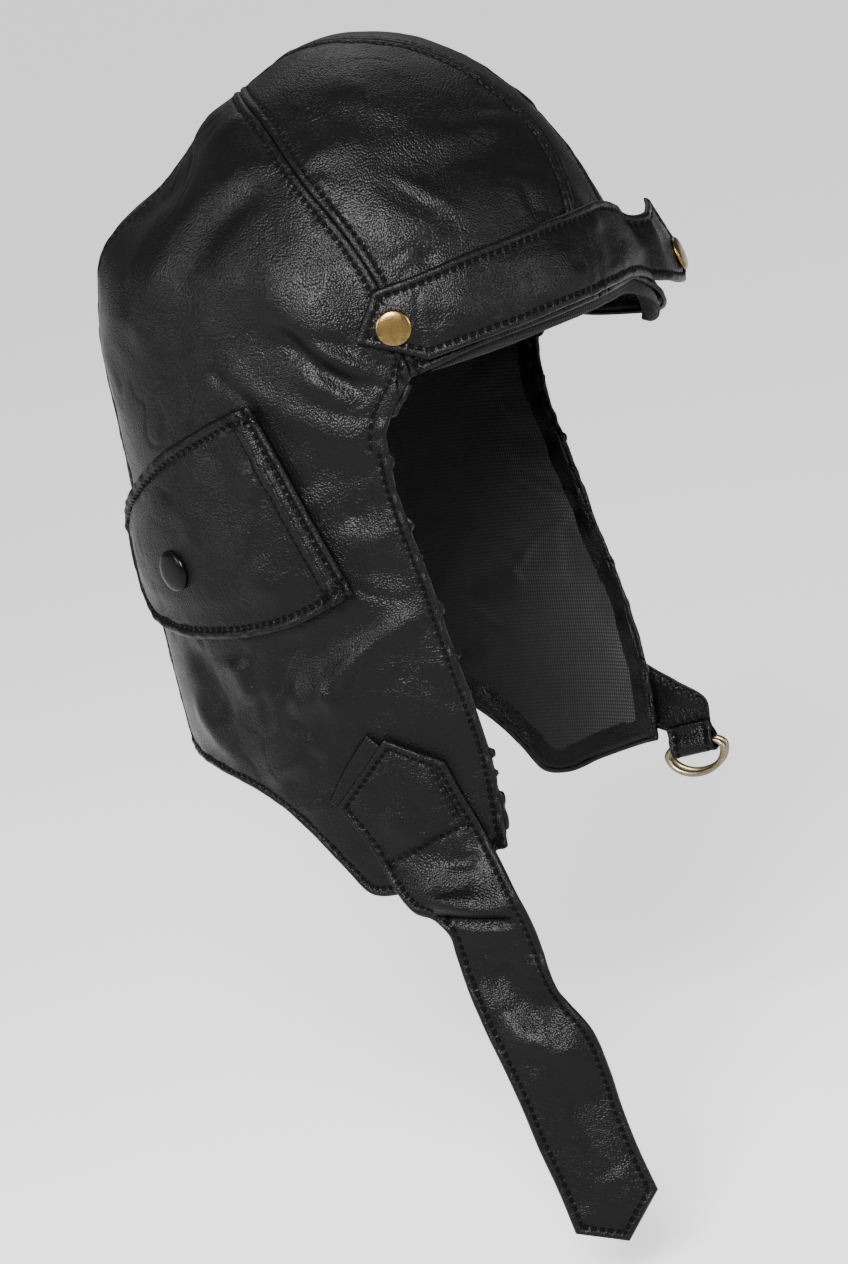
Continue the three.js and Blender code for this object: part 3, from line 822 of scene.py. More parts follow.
def leather_material(name, settings, tone=1.0, sewn=True):
    material, tree, shader = new_material(name, Specular_IOR_Level=LEATHER_GLOSS)
    values = {"Place": place_in_mm(tree), "Grain size": settings.grain_size}
    grain = place_group(tree, "leather grain", values)
    mottle = grain["Tone"]
    normal = bump(tree, grain["Height"], settings.grain_depth)
    toned = times(settings.colour, tone)
    dark, light, crease_tone = (times(toned, share) for share in (0.8, 1.25, 1.6))
    colour = blend_colours(tree, mottle, dark, light)
    # The colour grows lighter along the fine creases
    colour = blend_colours(tree, grain["Creases"] * 0.3, colour, crease_tone)
    rough = mottle.between(0.2, 0.9, settings.roughness + 0.06, settings.roughness - 0.05)
    if sewn:
        found = add_node(tree, "ShaderNodeAttribute", None, 1, attribute_name="sewing")
        beside_row, along_row, _ = parts_of(tree, found)
        values = {"Beside": beside_row, "Along": along_row, "Pitch": settings.pitch}
        rows = place_group(tree, "sewn rows", values)
        normal = bump(tree, rows["Height"], STITCH_DEPTH, normal)
        # Painted shade: the leather darkens to a fifth of its dark tone in the stitch holes, and
        # grows rougher there
        colour = blend_colours(tree, rows["Shade"] * 0.9, colour, times(dark, 0.2))
        rough = rough + rows["Shade"] * 0.5
    dress(tree, shader, colour, rough, normal)


def knit_material(name, settings):
    """Fine black knit: columns of loops round the head."""
    material, tree, shader = new_material(
        name, Specular_IOR_Level=KNIT_GLOSS, Sheen_Weight=KNIT_SHEEN, Sheen_Roughness=0.5
    )
    place = place_in_mm(tree)
    x, y, z = parts_of(tree, place)
    column = (y.math("ARCTAN2", x) * HEAD_RADIUS / settings.knit_size * math.pi).math("SINE")
    loop = column.math("ABSOLUTE")
    row = (z / settings.knit_size * (1.6 * math.pi) + loop * 1.5).math("SINE")
    fuzz = cloud(tree, place, 2.2, 3.0)
    height = loop * 0.6 + row * 0.3 + fuzz * 0.5
    colour = blend_colours(tree, height.between(0.0, 1.3), KNIT_DARK, settings.knit_colour)
    dress(tree, shader, colour, fuzz.between(0.2, 0.8, 0.82, 0.95), bump(tree, height, KNIT_DEPTH))


def thread_material(name, settings):
    material, tree, shader = new_material(name, Specular_IOR_Level=THREAD_GLOSS)
    values = {"Vector": place_in_mm(tree), "Scale": 1.3, "Distortion": 2.0, "Detail": 1.0}
    twist = add_node(tree, "ShaderNodeTexWave", values)
    thread = settings.thread_colour
    colour = blend_colours(tree, twist, times(thread, 0.5), times(thread, 1.5))
    dress(tree, shader, colour, twist.between(0, 1, 0.8, 0.6), bump(tree, twist, THREAD_DEPTH))


def metal_material(name, colour, dull, roughness, metallic=1.0, wear=0.3, gloss=0.5):
    """Plated metal with soft cloudy wear and fine brushed specks."""
    material, tree, shader = new_material(name, Metallic=metallic, Specular_IOR_Level=gloss)
    place = place_in_mm(tree)
    clouds, specks = cloud(tree, place, 0.35, 4.0), cloud(tree, place, 4.0)
    mask = (clouds * 0.6 + specks * 0.4).between(0.38, 0.66)
    colour = blend_colours(tree, mask * wear, colour, dull)
    rough = mask.between(0, 1, roughness - 0.05, roughness + 0.08)
    dress(tree, shader, colour, rough, bump(tree, specks, METAL_DEPTH))


# Settings that a user would change


def colour_setting(name, description, default):
    return bpy.props.FloatVectorProperty(
        name=name, description=description, subtype="COLOR", size=3, min=0, max=1, default=default
    )


def length_setting(name, description, least, most, default):
    return bpy.props.FloatProperty(
        name=name,
        description=description,
        unit="LENGTH",
        subtype="DISTANCE",
        min=least,
        max=most,
        default=default,
    )


def number_setting(name, description, least, most, default, subtype="NONE"):
    return bpy.props.FloatProperty(
        name=name, description=description, subtype=subtype, min=least, max=most, default=default
    )


class HatLeather(bpy.types.PropertyGroup):
    colour: colour_setting("Leather colour", "Colour of the leather", (0.0017, 0.00165, 0.0017))
    roughness: number_setting("Roughness", "How dull the leather is", 0, 1, 0.31, "FACTOR")
    grain_size: number_setting("Grain size", "Width of one pebble in millimetres", 0.2, 5, 0.7)
    grain_depth: number_setting("Grain depth", "Depth of the grain in millimetres", 0, 1, 0.165)
    pitch: number_setting("Stitch pitch", "Length of one stitch in millimetres", 1, 8, 3.0)
    thread_colour: colour_setting("Thread colour", "Colour of the thread", (0.0025, 0.0025, 0.0027))
    knit_colour: colour_setting("Knit colour", "Colour of the lining", (0.005, 0.005, 0.0053))
    knit_size: number_setting(
        "Knit size", "Width of one column of loops in millimetres", 0.3, 4, 1.1
    )


class HatMetal(bpy.types.PropertyGroup):
    cap_width: length_setting("Strap cap width", "Width of the brass caps", 0.005, 0.03, 0.0125)
    cover_cap_width: length_setting(
        "Ear cover cap width", "Width of the black caps", 0.005, 0.03, 0.015
    )
    brass: colour_setting(
        "Brass colour", "Colour of the caps on the forehead strap", (0.18, 0.12, 0.044)
    )
    bronze: colour_setting("Bronze colour", "Colour of the rings", (0.17, 0.135, 0.085))


class HatStage(bpy.types.PropertyGroup):
    floor_height: length_setting("Floor height", "Height of the floor", -1, 0, -0.352)
    key_power: number_setting("Key light", "Power of the main light", 0, 500, 33)


def settings():
    scene = bpy.context.scene
    return scene.hat_leather, scene.hat_metal, scene.hat_stage


LEATHERS = {
    "panel leather": {},
    "strap leather": {"tone": 0.95},
    # The turned hem's inner face: the same leather at half tone, painted shade
    "shaded hem leather": {"tone": 0.5, "sewn": False},
}
ENAMEL = (0.0015, 0.0015, 0.0016)
METALS = {
    "antique brass": {"dull": (0.045, 0.027, 0.008), "roughness": 0.27, "wear": 0.8},
    "ring bronze": {"dull": (0.06, 0.05, 0.04), "roughness": 0.34, "wear": 0.5},
    "black enamel": {"dull": (0.002,) * 3, "roughness": 0.1, "metallic": 0.0, "gloss": 0.07},
}


def finish_of(name):
    """A material by name, made when it is first asked for."""
    if name in bpy.data.materials:
        return bpy.data.materials[name]
    leather, metal, _ = settings()
    if "leather grain" not in bpy.data.node_groups:
        grain_group()
        sewing_group()
    if name == "thread":
        thread_material(name, leather)
    elif name == "lining knit":
        knit_material(name, leather)
    elif name in LEATHERS:
        leather_material(name, leather, **LEATHERS[name])
    else:
        plain = {"antique brass": metal.brass, "ring bronze": metal.bronze, "black enamel": ENAMEL}
        metal_material(name, tuple(plain[name]), **METALS[name])
    return bpy.data.materials[name]


# Panels of the crown and the ear flaps

RIGHT_SEAM = [
    [-13, -92, -7.5], [-14, -85, 22], [-6, -80, 36], [0, -73, 50], [0, -60, 66], [-3, -42, 80],
    [-9, -16, 90], [-8, 4, 91], [-8, 20, 87], [-12, 37, 78], [-20, 54, 66], [-27, 68, 54],
    [-31, 80, 40], [-33, 92, 15], [-35, 94, -20], [-38, 90, -50], [-34, 92, -100],
    [-30, 90, -154],
]
LEFT_SEAM = [
    [17, -91, -7.5], [18, -84, 22], [22, -77, 36], [26, -69, 50], [26, -56, 66], [23, -38, 78],
    [18, -16, 87], [17, 4, 88], [18, 20, 84], [20, 37, 75], [22, 54, 64], [24, 68, 53],
    [25, 80, 40], [27, 93, 15], [29, 96, -20], [30, 94, -50], [29, 94, -100], [26, 90, -154],
]
TEMPLE_SEAM = [
    [-32, 20, 76], [-50, 6, 68], [-60, -4, 58], [-66, -12, 49], [-70, -20, 40], [-72, -28, 28],
    [-73.5, -35, 14], [-74, -39, -2],
]
OPENING_EDGE = [
    [-76, -31, -34], [-76, -29.5, -50], [-75, -32, -70], [-73, -35, -88], [-70, -37.5, -112],
    [-66.5, -41.5, -140], [-63.5, -42.5, -160], [-61.5, -42, -190],
]
FLAP_HEM = [
    [-61.5, -42, -190], [-64, -36, -191.5], [-69, -15, -198], [-71, 0, -203], [-71, 10, -202],
    [-71, 18, -192], [-71, 24, -184], [-71, 30, -177], [-69, 38, -169], [-65, 51, -162],
    [-55, 68, -157.5], [-32, 88, -154.5], [-30, 90, -154],
]
RIGHT_FOREHEAD_EDGE = [
    [-13, -92, -7.5], [-36, -84, -9], [-59, -62.5, -12.5], [-69, -48.5, -16.5],
    [-73.5, -41.5, -18.5],
]
LEFT_FOREHEAD_EDGE = [
    [17, -91, -7.5], [28, -88, -12.5], [39, -84, -22.5], [52, -75, -27], [64, -61, -28],
    [73.5, -41.5, -26],
]
FOLD_STRENGTH = 1.15
LEFT_FROM = 25
# Folds, each through three points
BENDS = table(
    BEND_COLUMNS,
    [
        [-81, 2, 6, -81, -11, -9, -77, -29, -25, 3.4, -2.4],
        [-82, -1, 12, -81, -15, -3, -75, -32, -19, 5.5, 1.8],
        [-81, -2, -4, -81, -12, -16, -77, -26, -27, 6.5, 1.3],
        [-81, -15, 2, -80, -20, -3, -78, -26, -7, 2.8, -1.1],
        [-81, -8, 13, -80, -17, 6, -79, -24, -2, 5, 1.2],
        [-77, 35, -7, -80, 23, -14, -81, 13, -24, 2.6, -1.0],
        [-79, 26, -7, -81, 16, -15, -82, 7, -25, 4.5, 1.0],
        [-60, -2, 60, -63, 17, 54, -63, 35, 45, 7, 1.0],
        [-65, -9, 52, -69, 23, 42, -72, 48, -18, 9, -2.0],
        [-75, -24, 24, -80, -11, 17, -80, 6, 5, 14, 1.8],
        [-67, 44, 34, -68, 54, 18, -64, 64, -3, 8, 1.1],
        [-59, 50, 40, -63, 61, 24, -61, 69, 8, 6, -0.9],
        [-81, 12, -20, -81, -7, -30, -77, -28, -44, 6, 1.3],
        [-81, -5, -39, -80, -14, -55, -79, -18, -73, 12, -1.6],
        [-81, -10, -59, -80, -13, -62, -79, -17, -65, 2, -0.5],
        [-81, -5, -81, -78, -19, -84, -75, -32, -83, 6, -1.0],
        [-80, 13, -101, -78, 22, -113, -76, 31, -129, 3.2, -1.2],
        [-73, 44, -110, -73, 42, -119, -73, 39, -129, 8, 2.2],
        [-77, 26, -126, -79, 16, -128, -80, 3, -123, 7, 2.2],
        [-80, 12, -129, -79, -7, -113, -73, -34, -100, 5, 2.6],
        [-79, 4, -130, -78, -11, -114, -72, -34, -104, 4, -1.1],
        [-68, 44, -158, -75, 30, -153, -77, 19, -148, 4, 1.2],
        [-71, 36, -160, -76, 24, -154, -77, 14, -146, 3.4, -1.3],
        [-66, 52, -152, -72, 41, -143, -75, 31, -136, 2, -0.6],
        [-58, 69, -108, -63, 61, -123, -65, 55, -139, 6, -2.2],
        [-55, 71, -126, -59, 65, -141, -67, 49, -151, 6, 1.6],
        [-74, 17, -166, -74, 23, -167, -72, 30, -170, 3, 0.6],
        [-78, 23, -140, -79, 15, -135, -79, 8, -137, 7, -1.4],
        [-76, -20, -108, -76, -22, -116, -76, -17, -130, 4, -0.7],
        [-72, -34, -111, -70, -34, -129, -68, -35, -148, 6, 1.3],
        [-46, -46, 57, -29, -60, 58, 0, -69, 55, 6, 0.8],
        [-61, -27, 51, -46, -53, 50, -8, -77, 43, 9, -1.1],
        [-59, -35, 50, -56, -51, 38, -49, -66, 23, 2.5, -0.7],
        [-57, -37, 51, -55, -51, 39, -49, -65, 26, 3.4, 0.7],
        [-59, -41, 44, -57, -51, 35, -53, -62, 24, 3, -0.5],
        [-67, -31, 38, -63, -42, 34, -60, -53, 27, 9, 1.0],
        [-66, -46, 22, -65, -49, 20, -62, -54, 17, 2.2, -0.6],
        [-65, -47, 24, -63, -50, 21, -63, -52, 19, 2, -0.4],
        [-59, -8, 60, -56, -20, 61, -48, -30, 65, 5, 0.5],
        [-18, -58, 65, -16, -61, 62, -8, -64, 61, 2.2, -0.4],
        [-28, -74, 39, -29, -77, 33, -31, -79, 25, 2.2, -0.6],
        [-31, -72, 39, -33, -75, 32, -34, -77, 26, 3, 0.5],
        [-30, -12, 85, -40, -29, 73, -43, -39, 66, 7, 0.6],
        [-44, -5, 75, -49, -24, 67, -42, -46, 61, 8, -0.6],
        [-78, -27, -5, -81, -16, -2, -81, -1, 4, 1.8, -0.6],
        [-73, -39, -17, -79, -23, -6, -82, -6, 7, 1.8, -0.7],
        [-74, -37, -19, -79, -22, -10, -81, -6, 1, 2, 0.6],
        [-74, -36, -21, -79, -20, -15, -81, -6, -9, 1.8, -0.6],
        [-75, -34, -25, -80, -18, -20, -81, 0, -12, 2.2, 0.6],
        [-76, -31, -31, -79, -19, -28, -81, -5, -21, 1.8, -0.6],
        [-60, -34, 49, -60, -43, 39, -58, -51, 32, 1.5, -0.3],
        [-65, -20, 48, -69, -25, 40, -72, -27, 29, 1.5, -0.2],
        [-62, -15, 55, -67, -21, 44, -71, -26, 31, 2, 0.4],
        [-72, -36, 20, -68, -42, 23, -62, -50, 26, 1.6, -0.4],
        [-72, -40, 14, -65, -49, 20, -58, -58, 22, 1.6, -0.3],
        [-77, 31, 7, -78, 29, -6, -79, 28, -17, 1.8, -0.3],
        [-74, 43, -3, -75, 41, -14, -75, 42, -25, 1.6, -0.3],
        [-80, 10, 16, -80, 8, 3, -81, 8, -9, 2, -0.3],
        [-81, -6, -86, -78, -19, -93, -74, -30, -95, 1.6, -0.6],
        [-81, 12, -90, -79, 19, -105, -77, 26, -123, 1.6, 0.3],
        [-64, 63, -94, -65, 60, -110, -63, 61, -128, 2.2, -0.6],
        [-75, 41, -104, -75, 36, -123, -74, 36, -140, 2.5, -0.7],
        [-80, 8, -127, -79, -5, -125, -76, -18, -125, 1.8, -0.6],
    ],
)


class Side:
    """The seams and edges of one side of the hat. Hand is 1 on the wearer's right."""

    def __init__(self, name, seam, hand, forehead):
        self.name = name
        self.hand = hand
        self.flip = np.array([hand, 1, 1])
        self.seam = Curve(seam)
        corner = forehead[-1]
        meet = self.seam.at(TEMPLE_CORNER)[0]
        self.temple = Curve([meet, *TEMPLE_SEAM * self.flip, corner])
        self.opening = Curve([corner, *OPENING_EDGE * self.flip])
        self.hem = Curve([*FLAP_HEM[:-1] * self.flip, self.seam.at(1)[0]])
        self.forehead = Curve([self.seam.at(0)[0], *forehead[1:]])

    def panel_seam(self, start, end, sign=1):
        """A stretch of the crown seam, from the panel's own side of it."""
        aside = sign * self.hand * SEAM_TOUCH
        return lambda u: beside(self.seam, start + (end - start) * u, aside)

    def temple_beside(self, sign):
        """The temple seam, from the front of it where sign is 1 and from behind where it is -1."""
        return lambda u: beside(self.temple, u, sign * self.hand * SEAM_TOUCH)


SIDES = [
    Side("right", RIGHT_SEAM, 1, RIGHT_FOREHEAD_EDGE),
    Side("left", LEFT_SEAM, -1, LEFT_FOREHEAD_EDGE),
]


def line_of(side):
    """A side of a panel as a line of points on the form."""
    length = run_of(side(np.linspace(0, 1, 60)))[0].sum()
    return on_form(side(np.linspace(0, 1, max(int(length / STEP), 8))))


def seam_rim(side, raised=0.45):
    return Rim(line_of(side), (SEAM_ROW,), raised, depth=0.24, roll=0.9)


def hem_rim(side, rows=(HEM_ROW,), spans=None):
    return Rim(line_of(side), rows, 0.75 if spans else 0.5, depth=0.3, roll=1.15, spans=spans)


def hand_folds(q):
    """Height of the listed folds, the same on both sides of the hat."""
    flip = np.ones_like(q)
    flip[:, 0] = np.where(q[:, 0] > LEFT_FROM, -1, 1)
    return FOLD_STRENGTH * bends(q * flip, BENDS)


def under_strap(q):
    """How far the leather stands up below a piece that is sewn onto it."""
    return np.maximum(hand_folds(q), 0) + crumple(q)


# Outside, inside, then the turned hem outside and inside, the hem's inside at half tone as painted
# shade
PANEL_FINISHES = ["panel leather", "lining knit", "panel leather", "shaded hem leather"]


def panel_piece(name, flat, rims, node, crumpled=1.0):
    """A panel on the head form with its folds, creases, seams and hems."""
    q = on_form(flat.reshape(-1, 3))
    relief, sewing = rim_relief(q, rims)
    quiet = smooth(0.5, 7, sewing[:, 2])
    folds = ridges(q, FOLDS) + hand_folds(q)
    height = folds + crumple(q, crumpled) * quiet + relief
    outward = form_normal(q)
    grid = swing(q + outward * height[:, None]).reshape(flat.shape)
    for rim in rims:
        rim.shown = swing(rim.line)
    grid_piece(name, grid, outward, sewing, PANEL_FINISHES, node, WALL, hem=TURNED_HEM)
    return grid, outward, rims


CUFF = 27
RAGGED = 0.55
SEAM_ROLL = 0.35
FRONT_CRUMPLED = 0.5
STRIP_CRUMPLED = 0.8
STRIP_WIDTH = 34
STRIP_SPACING = 1.3
SIDE_SPACING = 1.15
CLOSER_PITCH = 0.87
# Distances of the rows of stitches from the opening's edge: above the cuff's end, and below it
CUFF_ROW, OPENING_ROW = 6.0, 3.4


def ragged(edge, u, hand):
    """Places on a turned edge that pleats pull in and out a little."""
    run = u * edge.length
    waves = noise_along(run, PLEAT * 1.3, 5) * smooth(0, 3, run)
    calm = RAGGED * (1 - 0.6 * smooth(CUFF, CUFF + 12, run)) * hand
    return beside(edge, u, (waves * calm)[:, None])


def front_panel(side):
    """The panel between the forehead, the temple seam and the crown seam."""
    rims = [
        hem_rim(side.forehead.at),
        seam_rim(side.temple_beside(1)),
        seam_rim(side.panel_seam(0, TEMPLE_CORNER), SEAM_ROLL),
    ]
    flat = patch(
        spacing(side.forehead.length * 0.95),
        spacing(side.temple.length * 0.95),
        side.forehead.at,
        lambda v: side.temple_beside(1)(1 - v),
        side.panel_seam(FRONT_CORNER, TEMPLE_CORNER),
        side.panel_seam(0, FRONT_CORNER),
    )
    name, node = "crown_front_" + side.name, "front_panel_" + side.name
    return panel_piece(name, flat, rims, node, FRONT_CRUMPLED)


def side_panel(side):
    """The panel beside the ear, which runs down into the ear flap."""
    front_length = side.temple.length + side.opening.length
    share = side.temple.length / front_length

    def temple_then_opening(v):
        upper = side.temple_beside(-1)(np.minimum(v / share, 1))
        lower = ragged(side.opening, np.maximum((v - share) / (1 - share), 0), side.hand)
        return np.where((v <= share)[:, None], upper, lower)

    spans = {CUFF_ROW: (-1, CUFF), OPENING_ROW: (CUFF, WHOLE_ROW[1])}
    rims = [
        seam_rim(side.temple_beside(-1)),
        hem_rim(side.opening.at, (CUFF_ROW, OPENING_ROW), spans),
        hem_rim(side.hem.at),
        seam_rim(side.panel_seam(TEMPLE_CORNER, 1), SEAM_ROLL),
    ]
    flat = patch(
        spacing(side.hem.length * 0.86, SIDE_SPACING),
        spacing(front_length, SIDE_SPACING),
        side.panel_seam(TEMPLE_CORNER, BACK_CORNER),
        side.panel_seam(BACK_CORNER, 1),
        side.hem.at,
        temple_then_opening,
    )
    return panel_piece("ear_flap_side_" + side.name, flat, rims, "side_panel_" + side.name)


def centre_strip():
    """The strip between the two long seams of the crown."""
    right, left = (side.panel_seam(0, 1, -1) for side in SIDES)

    def across(u, v):
        a, b = right(v)[:, None], left(v)[:, None]
        return a + (b - a) * u[None, :, None]

    strip = across(spacing(STRIP_WIDTH), spacing(SIDES[0].seam.length, STRIP_SPACING))
    ends = [lambda u, end=end: across(u, np.array([end]))[0] for end in (0.0, 1.0)]
    rims = [*(seam_rim(seam, SEAM_ROLL) for seam in (right, left)), *map(hem_rim, ends)]
    return panel_piece("crown_strip", strip, rims, "crown_centre_strip", STRIP_CRUMPLED)


def crown_panels():
    sewn = [make(side) for side in SIDES for make in (front_panel, side_panel)]
    stitches("panel_stitches", [*sewn, centre_strip()], CLOSER_PITCH)


# Knit band that shows below the forehead edge

LINING_LOW = [
    [-69, -47.5, -18], [-64, -56, -17], [-55, -68, -15.5], [-36, -83, -13], [-14, -92, -12],
    [0, -94, -12], [16, -91, -12.5], [28, -88, -17], [39, -84, -26], [47, -79, -29],
    [53, -74, -29.5],
]
LINING_HIGH_Z = 7
LINING_HEIGHT = 22
LINING_DEPTH = 2.9
LINING_WALL = 1.2


def forehead_lining():
    low = Curve(LINING_LOW)
    us, vs = spacing(low.length, 1.0), spacing(LINING_HEIGHT, 1.0)
    base = on_form(low.point(us))
    flat = np.repeat(base[None], len(vs), axis=0)
    flat[..., 2] += (LINING_HIGH_Z - flat[..., 2]) * vs[:, None]
    q = on_form(flat.reshape(-1, 3))
    rims = [Rim(on_form(low.point(np.linspace(0, 1, 160))), roll=0.7)]
    relief, sewing = rim_relief(q, rims)
    lift = -LINING_DEPTH + relief * 0.6 + 0.12 * noise(q, 5, 31)
    outward = form_normal(q)
    grid = swing(q + outward * (ridges(q, FOLDS) + lift)[:, None]).reshape(flat.shape)
    knit = ["lining knit"]
    grid_piece("knit_band", grid, outward, sewing, knit, "forehead_lining", LINING_WALL, "knit")


# Straps

END_SHARE = 0.16
STRAP_STEP = 0.85


def ribbon(first, second, start_apex=None, end_apex=None):
    """A function from places across and along to points between two rails, with drawn-out ends."""
    a, b = Curve(first), Curve(second)

    def at(u, v):
        pa, pb = a.point(v), b.point(v)
        p = pa + (pb - pa) * u[:, None]
        middle = 1 - abs(2 * u - 1)
        for apex, end in ((start_apex, 0.0), (end_apex, 1.0)):
            if apex is None:
                continue
            centre = (a.point(end) + b.point(end)) / 2
            share = np.maximum(1 - abs(v - end) / END_SHARE, 0)
            p = p + (np.array(apex) - centre) * (middle * share)[:, None]
        return p

    return at


def facing(at, u, v):
    """The directions straight out of a strap at places across and along it."""
    e = FACING_STEP
    du = at(np.minimum(u + e, 1), v) - at(np.maximum(u - e, 0), v)
    dv = at(u, np.minimum(v + e, 1)) - at(u, np.maximum(v - e, 0))
    return unit(np.cross(du, dv))


def strap_grid(width, length, step=STRAP_STEP):
    """Places across and along a strap, finer near its edges."""
    us, vs = spacing(width, step), spacing(length, step)
    u, v = (g.ravel() for g in np.meshgrid(us, vs))
    return u, v, (len(vs), len(us), 3)


def border(grid):
    """The rim of a grid of points as one closed line."""
    return np.vstack([grid[0], grid[1:, -1], grid[-1, -2::-1], grid[-2::-1, 0]])


def strap_piece(name, grid, outward, waves, node, row, inner_rims=()):
    """A doubled strap with rolled edges sewn all round, and rows of stitches across it."""
    points = grid.reshape(-1, 3)
    rim = Rim(border(grid), (row,), raised=0.5, puff=0.5, depth=0.3, roll=1.1)
    rims = [rim, *inner_rims]
    height, sewing = rim_relief(points, rims)
    normals = grid_normals(grid, outward)
    moved = (points + normals * (height + waves)[:, None]).reshape(grid.shape)
    leather = ["strap leather"]
    piece = grid_piece(name, moved, outward, sewing, leather, node, STRAP_WALL, taper=True)
    return piece, (moved, outward, rims)


STRAP_TOP = [
    [-74, -33, 13], [-67, -48, 16], [-57, -60, 19], [-44, -72, 21], [-29, -80, 22.5],
    [-13, -86, 23], [4, -87, 22.5], [20, -87, 18], [34, -91, 12], [45, -89, 12.5], [56, -85, 14],
]
STRAP_BOTTOM = [
    [-69, -47, -13], [-59, -62, -10], [-48, -75, -8], [-36, -84, -6], [-22, -91, -5],
    [-8, -94, -4.5], [6, -94, -5], [20, -93, -7.5], [33, -96, -12], [46, -96, -16],
    [58, -94, -18],
]
STRAP_RIGHT_APEX = [-77, -25, -3]
STRAP_LEFT_APEX = [71, -91, -12]
BAND_BENDS = table(
    BEND_COLUMNS,
    [
        [-66, -57, 9, -66, -58, 2, -64, -61, -7, 8, 0.9],
        [-52, -71, 15, -54, -73, 5, -52, -75, -5, 9, -0.8],
        [-34, -84, 16, -35, -86, 8, -34, -88, -1, 8, 0.9],
        [-7, -92, 18, -6, -95, 8, -6, -97, 0, 7, -0.9],
        [-76, -37, 10, -78, -35, 2, -79, -32, -2, 5, 0.6],
    ],
)
# Where the strap leaves the head, on its way to the free left end
STRAP_LEAVES_FROM = 24
STRAP_LEAVES_TO = 40
FOREHEAD_STRAP_SIZE = (32, 180)
FOREHEAD_ROW = 3.3
forehead_band = ribbon(STRAP_TOP, STRAP_BOTTOM, STRAP_RIGHT_APEX, STRAP_LEFT_APEX)


def on_forehead_band(u, v, lift):
    p = forehead_band(u, v)
    n = facing(forehead_band, u, v)
    n = np.where(((n[:, 1] > 0) & (p[:, 0] > 0))[:, None], -n, n)
    free = smooth(STRAP_LEAVES_FROM, STRAP_LEAVES_TO, p[:, 0])[:, None]
    return skin(p, lift + under_strap(on_form(p))) * (1 - free) + (p + n * lift) * free


def forehead_strap():
    u, v, shape = strap_grid(*FOREHEAD_STRAP_SIZE)
    outer = on_forehead_band(u, v, LAY_GAP + STRAP_THICKNESS)
    inner = on_forehead_band(u, v, 0.0)
    grid = outer.reshape(shape)
    waves = 0.5 * crumple(outer) + bends(outer, BAND_BENDS)
    node = "forehead_strap"
    _, sewn = strap_piece("forehead_band", grid, outer - inner, waves, node, FOREHEAD_ROW)
    stitches("forehead_band_stitches", [sewn])


# Ear covers

COVER_FRONT = [
    [-81, 15, -20], [-81, 6, -43], [-81, -2, -66], [-80, -10, -89],
]
COVER_BOTTOM = [
    [-80, -10, -89], [-80, -3, -93], [-80, 12, -99], [-78, 30, -102.5], [-71, 49, -104],
    [-62, 65, -104], [-50, 79, -102],
]
COVER_BACK = [
    [-50, 79, -102], [-42, 88, -96], [-38, 92, -86], [-37, 93, -76], [-39, 91, -65],
    [-46, 84, -56],
]
COVER_TOP = [
    [-46, 84, -56], [-54, 77, -50], [-68, 59, -37], [-76, 39, -28], [-80, 25, -22.5],
    [-81, 15, -20],
]
COVER_LIFT = 0.6
COVER_SWELL = 2.2
COVER_REAR_LIFT = 1.4
COVER_CAP_AT = [-68, 58, -78]
COVER_CAP_PLACE = [0.66, 0.4]
COVER_BENDS = table(
    BEND_COLUMNS,
    [
        [-84, 21, -39, -85, 19, -45, -85, 17, -52, 6, 1.1],
        [-76, 55, -52, -79, 48, -62, -80, 46, -74, 7, 0.8],
        [-82, 31, -27, -83, 32, -45, -84, 30, -66, 9, -0.9],
        [-84, 26, -74, -84, 19, -85, -84, 14, -89, 8, 0.9],
        [-77, 45, -30, -81, 36, -30, -83, 26, -29, 3, -0.5],
    ],
)
COVER_FOLD_STRENGTH = 1.8
COVER_CRUMPLED = 0.6
COVER_SIZE = (100, 62)
# The front edge carries a folded band, sewn on both sides
COVER_BAND = 9.5
COVER_FRONT_ROWS = (2.9, COVER_BAND)
COVER_ROUND_ROW = 4.3
BAND_START = 2.6
BAND_HEIGHT = 1.2
BAND_SWELL = 0.6
COVER_WALL = 1.8


def cover_swell(u, v):
    """How far an ear cover stands off the side panel."""
    bulge = np.sin(np.pi * u) * np.sin(np.pi * v)
    return COVER_LIFT + COVER_SWELL * bulge + COVER_REAR_LIFT * smooth(0.1, 1, u)


